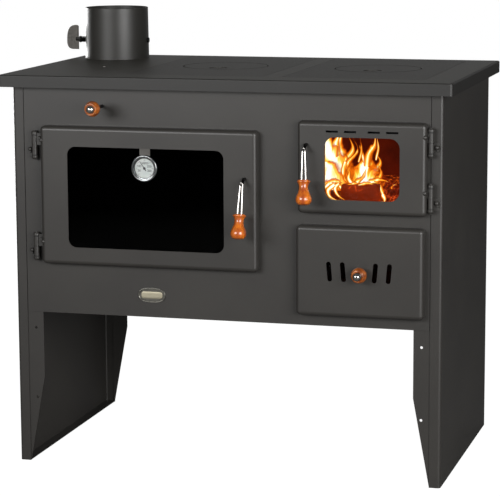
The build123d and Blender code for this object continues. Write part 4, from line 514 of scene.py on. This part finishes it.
def hang_handle(door):
    """A latch handle: a hairpin of chromed wire hanging from the shank, and a turned grip on its legs.

    The wire is a round section carried up one straight leg, round half an ellipse and down the other leg.
    The grip is a smooth profile turned round the line that it hangs on, which leans out from the door.
    """
    grip_low, grip_high = span(door + "_handle_grip")
    lean, aside = np.radians(LEAN), np.radians(SWAY[door])
    hang = np.array([np.sin(aside), -np.sin(lean) * np.cos(aside), -np.cos(lean) * np.cos(aside)])
    rim = (grip_low + grip_high) / 2 - hang * GRIP_HALF
    side = np.array([1.0, 0.0, 0.0])
    side -= hang * side.dot(hang)
    side /= np.linalg.norm(side)
    bend = rim - hang * (WIRE_REACH - BEND_HIGH)
    low_end = rim + side * LEG_SPREAD + hang * WIRE_SINK
    right_leg = low_end + np.linspace(0, 1, 14)[:, None] * (bend + side * BEND_HALF - low_end)
    left_leg = right_leg - 2 * side * ((right_leg - rim) @ side)[:, None]
    turn = np.radians(np.linspace(0, 180, 13))[1:-1, None]
    loop = bend + BEND_HALF * np.cos(turn) * side - BEND_HIGH * np.sin(turn) * hang
    hairpin = carried(ring_of(WIRE, 14), np.vstack([right_leg, loop, left_leg[::-1]]), np.cross(side, hang))
    wire = skin(door + "_hairpin", hairpin, chrome, door + "_handle", ends="points")
    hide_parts(door + "_handle_wire")
    profile = curve_through(GRIP_PROFILE, 5)
    profile[:, 0] = np.maximum(profile[:, 0], 0.3)
    grip = skin(door + "_turned_grip", turned(profile, rim, hang, 56), beech_upright, door + "_handle",
                ends="points", crease=60)
    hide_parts(door + "_handle_grip")


def turned_knob(name, body, screw):
    """A knob and its chromed dome screw, both profiles turned round one level axis.

    The knob is an arc with a rounded lip round a flat seat, and the dome on the seat is a quarter circle.
    """
    low, high = span(name)
    middle = (low + high) / 2
    knob = skin(name + "_turned", turned(np.vstack([KNOB_BACK, KNOB_FACE]), middle, FORWARDS, 56), beech_level, body,
                ends="points", crease=60)
    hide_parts(name)
    tip = middle[1] - span(screw)[0][1]
    dome = np.vstack([SCREW_FOOT, arc(SCREW_DOME, (0, tip - SCREW_DOME - 0.1), 0, 88, 14)])
    cap = skin(name + "_dome", turned(dome, middle, FORWARDS, 40), chrome, body, ends="points", crease=50)
    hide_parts(screw)


hang_handle("oven")
hang_handle("fire")
turned_knob("bypass_knob", "bypass", "bypass_knob_screw")
turned_knob("ash_knob", "ash_drawer", "ash_knob_screw")

# ---------------------------------------------------------------- hinges
PIN_INSET = 4.6              # pins' outermost point to their axis
HINGE_CENTRES = {"oven_door": (450.0, 655.0), "fire_door": (573.0, 680.0)}
RING_AT, BALL_AT = 20.1, 24.4                                             # hinge's middle to a groove, to a ball
RING = [(0.2, -0.9), (5.7, -0.9), (5.8, 0.0), (5.7, 0.9), (0.2, 0.9)]
BALL = np.vstack([[(0.2, -3.4), (5.9, -3.4), (6.3, -3.0), (6.3, -0.6)], arc(4.8, (1.5, -0.4), 0, 84, 12)])
LEAF_RIVET = {"radius": 4.4, "rise": 4.4}
LEAF_RIVET_AT = (11.0, 9.0, -9.0)                                         # outside the pin, behind the leaf, up
DOOR_RIVET = {"radius": 4.6, "rise": 3.4}
DOOR_RIVET_AT = (-2.5, 2.5, 11.0)                                         # outside the edge, behind the face, up


def dome_rivet(name, at, radius, rise, body, facing):
    """A rivet's low round head: the arc of radius (r r + h h) / 2 h, turned round the way that it faces."""
    bulge = (radius**2 + rise**2) / (2 * rise)
    edge = np.degrees(np.arccos(radius / bulge)) if radius < bulge else 0.0
    dome = np.vstack([[(0.2, -0.6), (radius, -0.6)], arc(bulge, (0, rise - bulge), edge, 88, 9)])
    return skin(name, turned(dome, at, facing, 24), casing, body, ends="points", crease=50)


def dress_hinges(door, hand):
    """Grooves and balls on a door's two hinges, each a profile turned round the pin, and their rivets. Each groove is a
    thin ring painted near black, as painted shade.

    Hand is 1 where the door hangs on its right side, -1 on its left. The lower half stays with the stove.
    """
    pins_low, pins_high = span("hinge_pins")
    leaves_front = span("hinge_leaves")[0][1]
    pin_x = (pins_high if hand > 0 else pins_low)[0] - hand * PIN_INSET
    pin_y = (pins_low[1] + pins_high[1]) / 2
    door_low, door_high = span(door + "_panel")
    edge, door_front = (door_high if hand > 0 else door_low)[0], door_low[1]
    for number, middle in enumerate(HINGE_CENTRES[door]):
        tag = "%s_hinge_%d" % (door, number + 1)
        for end, part, body in ((-1, "_low", "stove"), (1, "_high", door)):
            # The groove: a thin ring in near black, painted shade of the gap.
            groove = turned(RING, (pin_x, pin_y, middle + end * RING_AT), UPWARDS, 40)
            skin(tag + part + "_ring", groove, painted_shade_groove, body, ends="points", crease=50)
            ball = turned(BALL, (pin_x, pin_y, middle + end * BALL_AT), (0, 0, end), 32)
            skin(tag + part + "_ball", ball, casing, body, ends="points")
        outside, behind, up = LEAF_RIVET_AT
        low_rivet = (pin_x + hand * outside, leaves_front + behind, middle + up)
        dome_rivet(tag + "_body_rivet", low_rivet, **LEAF_RIVET, body="stove", facing=FORWARDS)
        outside, behind, up = DOOR_RIVET_AT
        high_rivet = (edge + hand * outside, door_front + behind, middle + up)
        dome_rivet(tag + "_door_rivet", high_rivet, **DOOR_RIVET, body=door, facing=(hand, -1, 0))


# ---------------------------------------------------------------- fire
BESIDE_LEFT, BESIDE_RIGHT, BELOW, ABOVE = 54.0, 51.5, 28.0, 30.0          # door's edges to its window
BELLY = 0.35                 # how far a tongue bows, as a share of half its width

door_low, door_high = span("fire_door_panel")
DOOR_FACE = door_low[1]
WINDOW = (door_low[0] + BESIDE_LEFT, door_high[0] - BESIDE_RIGHT, door_low[2] + BELOW, door_high[2] - ABOVE)

# The ember bed: how far it lies inside the bricks at the left, right, front and back, its height, and the seed
# of its waves.
BED_INSETS, BED_RISE, BED_SEED = (26, 26, 8, 30), 16.0, 0.7

# Each log: window share across and up of its two ends, how far these lie behind the door's face, its radius,
# its finish, the seed of its waves, and how square it is split.
LOGS = {
    "front_log": ((0.25, 0.13, 92.0), (0.76, 0.14, 92.0), 17.5, painted_firelit_log, 1.0, 4.5),
    "left_log": ((-0.02, 0.02, 70.0), (0.42, 0.16, 190.0), 12.0, char, 2.0, 2.6),
    "right_log": ((0.98, 0.10, 82.0), (0.70, 0.30, 240.0), 16.0, coals, 3.4, 2.4),
    "rear_log": ((0.15, 0.26, 150.0), (0.80, 0.20, 180.0), 17.0, char, 5.1, 2.8),
}

# Each tongue: window shares that its middle passes, its width, how far it stands behind the door's face, and
# its heat.
TONGUES = [
    ([(0.08, 0.18), (0.10, 0.36), (0.08, 0.52), (-0.02, 0.66)], 78, 108, bright_flame),
    ([(0.20, 0.24), (0.20, 0.50), (0.14, 0.78), (0.22, 1.12)], 66, 118, bright_flame),
    ([(0.12, 0.66), (0.05, 0.86), (0.10, 1.10)], 52, 104, bright_flame),
    ([(0.16, 0.30), (0.24, 0.55), (0.20, 0.85), (0.26, 1.15)], 44, 140, bright_flame),
    ([(0.02, 0.24), (0.16, 0.30), (0.27, 0.27)], 26, 96, flame),
    ([(0.22, 0.25), (0.24, 0.50), (0.30, 0.66), (0.39, 0.84), (0.30, 1.08)], 30, 128, flame),
    ([(0.30, 0.30), (0.27, 0.45), (0.33, 0.62), (0.45, 0.82), (0.36, 1.04)], 17, 112, flame),
    ([(0.28, 0.62), (0.25, 0.46), (0.28, 0.34), (0.35, 0.26)], 15, 104, flame),
    ([(0.38, 0.26), (0.33, 0.36), (0.34, 0.46), (0.31, 0.56)], 13, 100, flame),
    ([(0.46, 0.62), (0.50, 0.82), (0.47, 1.05)], 9, 122, flame),
    ([(0.54, 0.20), (0.56, 0.38), (0.58, 0.56), (0.57, 0.80)], 88, 132, bright_flame),
    ([(0.42, 0.27), (0.47, 0.33), (0.53, 0.40), (0.57, 0.56)], 18, 118, flame),
    ([(0.54, 0.62), (0.50, 0.78), (0.47, 0.90)], 12, 124, flame),
    ([(0.57, 0.55), (0.59, 0.74), (0.67, 0.90), (0.68, 1.06)], 22, 116, flame),
    ([(0.69, 0.66), (0.72, 0.84), (0.70, 1.04)], 9, 120, flame),
    ([(0.66, 0.26), (0.66, 0.46), (0.75, 0.62), (0.70, 0.76)], 24, 138, flame),
    ([(0.60, 0.30), (0.70, 0.34), (0.76, 0.46), (0.71, 0.62)], 20, 112, flame),
    ([(0.66, 0.34), (0.76, 0.35), (0.86, 0.32)], 15, 98, flame),
    ([(0.74, 0.27), (0.77, 0.16), (0.83, 0.02)], 15, 88, flame),
    ([(0.78, 0.12), (0.81, 0.04), (0.79, -0.04)], 13, 86, flame),
    ([(0.28, 0.23), (0.42, 0.28), (0.52, 0.25)], 13, 84, flame),
    ([(0.46, 0.25), (0.58, 0.29), (0.72, 0.25)], 13, 82, flame),
    ([(0.20, 0.27), (0.15, 0.20), (0.19, 0.08), (0.32, -0.02)], 13, 76, flame),
    ([(0.14, 0.25), (0.06, 0.16), (0.09, 0.05), (0.22, -0.02)], 13, 72, flame),
    ([(0.07, 0.26), (-0.02, 0.14), (0.03, 0.02), (0.12, -0.02)], 14, 78, flame),
    ([(0.10, 0.27), (0.20, 0.24), (0.26, 0.14), (0.36, 0.02)], 11, 80, flame),
    ([(0.92, 0.02), (0.95, 0.12), (0.90, 0.24), (0.98, 0.30)], 10, 90, flame),
]


def seen(u, v, behind):
    """The place a distance behind the door's face that is seen from the eye through a share u, v of the window."""
    left, right, low, high = WINDOW
    on_pane = np.stack([left + (right - left) * u, np.full(np.shape(u), DOOR_FACE), low + (high - low) * v], -1)
    ray = on_pane - EYE
    return on_pane + ray * (np.asarray(behind)[..., None] / ray[..., 1:2])


def tongue(name, points, width, behind, finish):
    """A tongue of flame: a ribbon bowed towards the front, on a curve through a few window shares.

    At a share s of its length it is (0.35 + 0.65 sin(pi s)^0.7) (1 - s s s) of its width, so it swells and
    runs out to a point. Across, it bows by 1 - o o of its belly, where o goes from -1 to 1.
    """
    line = curve_through(points, 8)
    share = np.linspace(0, 1, len(line))
    middle = seen(line[:, 0], line[:, 1], np.full(len(line), behind))
    along = np.gradient(middle, axis=0)
    along /= np.linalg.norm(along, axis=1, keepdims=True)
    across = np.cross(along, (0, 1, 0))
    across /= np.linalg.norm(across, axis=1, keepdims=True)
    swell = (0.35 + 0.65 * np.sin(np.pi * np.clip(share + 0.08, 0, 1)) ** 0.7) * (1 - share**3)
    offset = np.linspace(-1, 1, 9)
    rows = middle[:, None] + width / 2 * swell[:, None, None] * offset[None, :, None] * across[:, None]
    rows[..., 1] -= BELLY * width / 2 * (1 - offset**2) * swell[:, None]
    return skin(name, rows, finish, "stove", wrap=False, printed=True)


def split_log(name, start_at, end_at, size, finish, seed, square):
    """A split log: a rounded square section carried along a line.

    The section is |cos|^n + |sin|^n = 1. Three sine waves, along the grain and round it, roughen its radius,
    which falls off at the ends with the twelfth power of the distance from the middle.
    """
    along = np.linspace(0, 1, 40)
    s, a = np.meshgrid(along, np.linspace(0, TAU, 48, endpoint=False), indexing="ij")
    plain = (np.abs(np.cos(a)) ** square + np.abs(np.sin(a)) ** square) ** (-1 / square)
    rough = (1 + 0.05 * np.sin(3 * a + seed + 4 * s) + 0.03 * np.sin(11 * a + 2.3 * seed + 2 * s)
             + 0.02 * np.sin(31 * s + 5 * a + seed))
    radius = size * plain * rough * (1 - 0.12 * np.abs(2 * s - 1) ** 12)
    section = np.stack([radius * np.cos(a), radius * np.sin(a)], -1)
    path = start_at + (end_at - start_at) * along[:, None]
    return skin(name, carried(section, path, (0.1, 0.2, 1.0)), finish, "stove", ends="points", crease=60)


def ember_bed(name, area, base, rise, seed):
    """A bed of embers: a field of heights, the sum of five waves |sin|^0.7 / k of differing length and direction."""
    left, right, front, back = area
    x, y = np.meshgrid(np.linspace(left, right, 70), np.linspace(front, back, 90), indexing="ij")
    height = sum(np.abs(np.sin((x * np.cos(k * 1.7 + seed) + y * np.sin(k * 2.3 + seed)) / (3.2 + 2.1 * k))) ** 0.7
                 / (k + 1) for k in range(5))
    fade = np.clip(np.minimum.reduce([x - left, right - x, y - front, back - y]) / 12, 0, 1)
    z = base + rise * height / 2.3 * fade
    return skin(name, np.stack([x, y, z], -1), ember, "stove", wrap=False, crease=80)


def lay_fire():
    """A wood fire, laid and lit so that the window shows what the photograph shows."""
    low, high = span("firebricks")
    left, right, front, back = BED_INSETS
    bed = (low[0] + left, high[0] - right, low[1] + front, high[1] - back)
    ember_bed("ember_bed", bed, span("grate")[1][2], BED_RISE, BED_SEED)
    for name, (*ends, size, finish, seed, square) in LOGS.items():
        split_log(name, *seen(*np.array(ends).T), size, finish, seed, square)
    for number, (points, width, behind, finish) in enumerate(TONGUES):
        tongue("flame_%02d" % (number + 1), points, width, behind, finish)


lay_fire()

dress_hinges("oven_door", -1)
dress_hinges("fire_door", 1)

# ---------------------------------------------------------------- thermometer
SCALE_FROM, SCALE_SWEEP = 225, 270                                        # degrees, lower left, clockwise round
SCALE_STEPS, LONG_EVERY = 30, 5
LONG_MARK, SHORT_MARK = (15.0, 0.75), (16.4, 0.4)                         # dial's middle to its inner end; width
MARKS_END = 18.2             # dial's middle to the outer end
NUMBERS = ("50", "100", "150", "200", "250", "300")
NUMBERS_AT = 11.4            # dial's middle to the middle of a number
DIGIT_HIGH, DIGIT_WIDE, DIGIT_LINE = 4.0, 3.12, 0.75
PRINT_LIFT = 0.12            # print above the face
BEZEL_BACK, BEZEL_LIP = 19.8, 20.6                                        # inside radius
PAINTED_SHADOW_RING = [(19.4, 0.2), (21.9, 0.2), (21.9, 0.7), (19.6, 0.6)]


def stroke(points, width):
    """A printed line: a flat ribbon, points -+ width / 2 across, along points (x, z)."""
    line = np.asarray(points, float)
    along = np.gradient(line, axis=0)
    along /= np.linalg.norm(along, axis=1, keepdims=True)
    across = np.stack([-along[:, 1], along[:, 0]], 1) * width / 2
    return np.stack([line - across, line + across], 1)


def bow(x, z, wide, high, begin, end):
    """An arc of an ellipse: (x + wide cos a, z + high sin a)."""
    turn = np.radians(np.linspace(begin, end, 14))
    return np.stack([x + wide * np.cos(turn), z + high * np.sin(turn)], 1)


# Each digit is drawn on a field 0.6 wide and 1 high with lines and arcs of ellipses.
DIGITS = {
    "0": [bow(0.3, 0.5, 0.28, 0.48, 0, 360)],
    "1": [np.array([(0.12, 0.78), (0.34, 1.0)]), np.array([(0.34, 1.0), (0.34, 0.0)])],
    "2": [np.vstack([bow(0.3, 0.72, 0.27, 0.27, 165, -40), [(0.04, 0.02)]]), np.array([(0.02, 0.02), (0.6, 0.02)])],
    "3": [bow(0.28, 0.74, 0.26, 0.25, 150, -80), bow(0.28, 0.26, 0.29, 0.26, 85, -150)],
    "5": [np.array([(0.56, 0.98), (0.12, 0.98)]), np.array([(0.12, 0.98), (0.08, 0.56)]),
          bow(0.28, 0.3, 0.3, 0.3, 130, -145)],
}


def scale_marks():
    """Strokes and plain numbers on a scale: each stands at an angle, start - sweep times its share."""
    marks = []
    for step in range(SCALE_STEPS + 1):
        turn = np.radians(SCALE_FROM - SCALE_SWEEP * step / SCALE_STEPS)
        begin, width = SHORT_MARK if step % LONG_EVERY else LONG_MARK
        marks.append(stroke([(np.cos(turn) * reach, np.sin(turn) * reach) for reach in (begin, MARKS_END)], width))
    for step, number in enumerate(NUMBERS):
        turn = np.radians(SCALE_FROM - SCALE_SWEEP * (step + 0.5) / len(NUMBERS))
        left = np.cos(turn) * NUMBERS_AT - DIGIT_WIDE * len(number) / 2
        for place, digit in enumerate(number):
            corner = np.array([left + place * DIGIT_WIDE, np.sin(turn) * NUMBERS_AT - DIGIT_HIGH / 2])
            marks += [stroke(corner + line * DIGIT_HIGH, DIGIT_LINE) for line in DIGITS[digit]]
    return marks


def thermometer():
    """An oven thermometer: a bezel and a ring of painted shadow at its lip, both turned profiles, and a printed scale a
    hair above the face.
    """
    low, high = span("thermometer_case")
    middle = (low + high) / 2
    outside = (high[0] - low[0]) / 2
    face = span("thermometer_dial")[0][1]
    back, front = high[1] - middle[1], middle[1] - low[1]
    rim = [(1.2, -back), (0.3, 0.5 - back), (0.0, 1.6 - back), (0.0, front - 2.4), (0.5, front - 1.2),
           (1.6, front - 0.35), (2.9, front - 0.1), (4.2, front - 0.6), (4.8, front - 1.6), (5.0, front - 3.4),
           (5.3, front - 3.5)]
    profile = [(BEZEL_BACK, 0.3 - back), *((outside - inwards, height) for inwards, height in rim),
               (BEZEL_LIP, front - 3.6), (BEZEL_BACK, 1.4 - back)]
    case = skin("thermometer_bezel", turned(profile, middle, FORWARDS, 72), bezel, "oven_door", ends="loop", crease=35)
    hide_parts("thermometer_case")
    # Painted shadow: a black ring on the face where the bezel's lip would shade it.
    shadow = turned(PAINTED_SHADOW_RING, (middle[0], face, middle[2]), FORWARDS, 72)
    skin("thermometer_painted_shadow_ring", shadow, print_black, "oven_door", ends="loop")
    for number, mark in enumerate(scale_marks()):
        print_at = np.full(mark.shape[:2], face - PRINT_LIFT)
        rows = np.stack([middle[0] + mark[..., 0], print_at, middle[2] + mark[..., 1]], -1)
        skin("scale_mark_%02d" % number, rows, print_black, "oven_door", wrap=False)


thermometer()

# ---------------------------------------------------------------- badge
OVAL_POWER = 0.82            # 1 would be an ellipse, less is squarer
RIM_STEPS = [(0.0, 0.0), (0.0, 1.4), (0.35, 2.0), (1.1, 2.2), (1.9, 2.0), (2.3, 1.2), (2.6, 0.7), (6.0, 0.7),
             (9.0, 0.7)]
PLATE_HALF = (22.0, 7.0)
PLATE_CORNER = 5.0
PLATE_STEPS = [(0.0, 0.5), (0.0, 1.5), (0.2, 1.8), (0.6, 1.9), (4.0, 1.9)]


def badge():
    """A bare oval badge: a cast rim round a sunk field, and a blank brushed plate on the field.

    Both are outlines drawn in step by step, each step (inwards, outwards). The rim's is the oval
    (w |cos a|^p, h |sin a|^p) with the signs of cos and sin, the plate's a rectangle with round corners.
    """
    low, high = span("badge")
    x, z = (low[0] + high[0]) / 2, (low[2] + high[2]) / 2
    wide, tall = (high[0] - low[0]) / 2, (high[2] - low[2]) / 2
    turn = np.linspace(0, TAU, 96, endpoint=False)
    oval = np.stack([np.cos(turn), np.sin(turn)], 1)
    oval = np.sign(oval) * np.abs(oval) ** OVAL_POWER
    rows = [np.stack([x + oval[:, 0] * (wide - by), np.full(len(oval), high[1] - out),
                      z + oval[:, 1] * (tall - by)], 1) for by, out in RIM_STEPS]
    rim = skin("badge_rim_and_field", rows, badge_rim, "stove", ends="points", crease=50)
    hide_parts("badge")
    rows = []
    for by, out in PLATE_STEPS:
        half_wide, half_tall = PLATE_HALF[0] - by, PLATE_HALF[1] - by
        flat = round_loop((x - half_wide, x + half_wide, z - half_tall, z + half_tall), PLATE_CORNER - by)
        rows.append(np.stack([flat[:, 0], np.full(len(flat), high[1] - out), flat[:, 1]], 1))
    skin("badge_plate", rows, badge_plate, "stove", ends="points", crease=50)


badge()

# ---------------------------------------------------------------- flue
COLLAR_FOOT, COLLAR_TIP = 69.4, 68.0                                      # outside radius at the hob, at the rim
COLLAR_WALL = 2.0
FLANGE = 3.0                 # thickness of the flange under the hob


def flue():
    """The rolled collar: a turned profile, a pipe that widens a little towards the hob, with a rounded lip."""
    low, high = span("flue_collar")
    axis = ((low[0] + high[0]) / 2, (low[1] + high[1]) / 2, 0.0)
    plate_top = span("top_plate")[1][2]
    outside, bottom, top, half = (high[0] - low[0]) / 2, low[2], high[2], COLLAR_WALL / 2
    share = np.linspace(0, 1, 12)[1:, None]
    foot, rim = np.array([COLLAR_FOOT, plate_top]), np.array([COLLAR_TIP, top - 1.6])
    profile = np.vstack([
        [(outside, bottom), (outside, bottom + FLANGE - 0.1), (COLLAR_FOOT + 0.6, bottom + FLANGE),
         (COLLAR_FOOT, bottom + FLANGE + 0.6), foot],
        foot + (rim - foot) * share,
        arc(half, (COLLAR_TIP - half, top - half), 20, 160, 8),
        [(COLLAR_TIP - COLLAR_WALL, bottom + 0.6), (COLLAR_TIP - COLLAR_WALL + 0.6, bottom)]])
    collar = skin("rolled_flue_collar", turned(profile, axis, UPWARDS, 128), flue_paint, "stove", ends="loop",
                  crease=35)
    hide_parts("flue_collar")


flue()

# ---------------------------------------------------------------- camera
YAW, PITCH, ROLL = -0.2719, -0.1665, -0.0051                              # radians, as solved from the photograph
SENSOR = 36.0                # mm across
FOCAL = 2160.05 * SENSOR / 500                                            # mm, from pixels of a picture 500 wide

ahead = Vector((np.sin(YAW) * np.cos(PITCH), np.cos(YAW) * np.cos(PITCH), np.sin(PITCH)))
level = Vector((np.cos(YAW), -np.sin(YAW), 0.0))
rise = level.cross(ahead)
right = level * np.cos(ROLL) + rise * np.sin(ROLL)
upright = rise * np.cos(ROLL) - level * np.sin(ROLL)
optics = bpy.data.cameras.new("camera")
optics.sensor_width = SENSOR
optics.lens = FOCAL
optics.clip_end = 100.0
camera = bpy.data.objects.new("camera", optics)
camera.matrix_world = Matrix.Translation(Vector(EYE * MM)) @ Matrix((right, upright, -ahead)).transposed().to_4x4()
bpy.context.scene.collection.objects.link(camera)
bpy.context.scene.camera = camera

# ---------------------------------------------------------------- lights
HEART = Vector((0.0, -0.1, 0.55))                                         # metres, where every softbox aims

# Each softbox: its place and its width and height in metres, and its watts.
SOFTBOXES = {
    "key_softbox": ((-1.35, -3.2, 1.45), (1.9, 1.0), 68.0),
    "right_softbox": ((2.35, -2.45, 1.15), (2.0, 1.6), 112.0),
    "back_softbox": ((-0.6, 3.2, 1.4), (3.6, 1.8), 6.0),
    "rear_softbox": ((-2.8, 2.5, 0.55), (1.8, 0.9), 90.0),
}
for name, (at, size, watts) in SOFTBOXES.items():
    lamp = bpy.data.lights.new(name, "AREA")
    lamp.shape = "RECTANGLE"
    lamp.size, lamp.size_y = size
    lamp.energy = watts
    softbox = bpy.data.objects.new(name, lamp)
    softbox.location = at
    softbox.rotation_mode = "QUATERNION"
    softbox.rotation_quaternion = (HEART - Vector(at)).to_track_quat("-Z", "Y")
    bpy.context.scene.collection.objects.link(softbox)

# ---------------------------------------------------------------- white background and pale floor
MIRRORED = 0.12              # share of the white that gloss on the stove mirrors
AMBIENT = 0.07               # share of it that lights the stove
FLOOR_GLOW, GLOW_SHARE = 1.32, 0.75                                       # white that the camera adds to the floor
FLOOR_REACH = 20             # metres from the middle to each side

world = bpy.data.worlds.new("studio")
bpy.context.scene.world = world
world.use_nodes = True
tree = world.node_tree
tree.nodes.clear()
ray = add(tree, "LightPath").outputs
through = add(tree, "Math", (ray["Is Camera Ray"], ray["Is Transmission Ray"]), operation="MAXIMUM")
gloss = add(tree, "Math", (ray["Is Glossy Ray"], MIRRORED), operation="MULTIPLY")
strength = add(tree, "Math", (through, gloss), operation="MAXIMUM")
strength = add(tree, "Math", (strength, AMBIENT), operation="MAXIMUM")
white = add(tree, "Background", {"Color": shade("#FFFFFF"), "Strength": strength})
add(tree, "OutputWorld", {"Surface": white})

# Matt floor: pale to the camera, but greyer where it lights the stove, so that the paint stays dark.
pale_floor = bpy.data.materials.new("pale_studio_floor")
pale_floor.use_nodes = True
tree = pale_floor.node_tree
tree.nodes.clear()
to_camera = add(tree, "LightPath").outputs["Is Camera Ray"]
tint = add(tree, "Mix", {0: to_camera, 6: shade("#747473"), 7: shade("#B4B4B2")}, data_type="RGBA")
matt = add(tree, "BsdfPrincipled", {"Base Color": tint.outputs[2], "Roughness": 0.9})
glow = add(tree, "Emission", {"Color": shade("#FFFFFF"), "Strength": FLOOR_GLOW})
share = add(tree, "Math", (to_camera, GLOW_SHARE), operation="MULTIPLY")
both = add(tree, "MixShader", (share, matt, glow))
add(tree, "OutputMaterial", {"Surface": both})
floor_mesh = bpy.data.meshes.new("floor")
corners = [(x * FLOOR_REACH, y * FLOOR_REACH, 0) for x, y in ((-1, -1), (1, -1), (1, 1), (-1, 1))]
floor_mesh.from_pydata(corners, [], [(0, 1, 2, 3)])
floor_mesh.materials.append(pale_floor)
floor = bpy.data.objects.new("floor", floor_mesh)
bpy.context.scene.collection.objects.link(floor)

bpy.context.scene.view_settings.view_transform = "Standard"
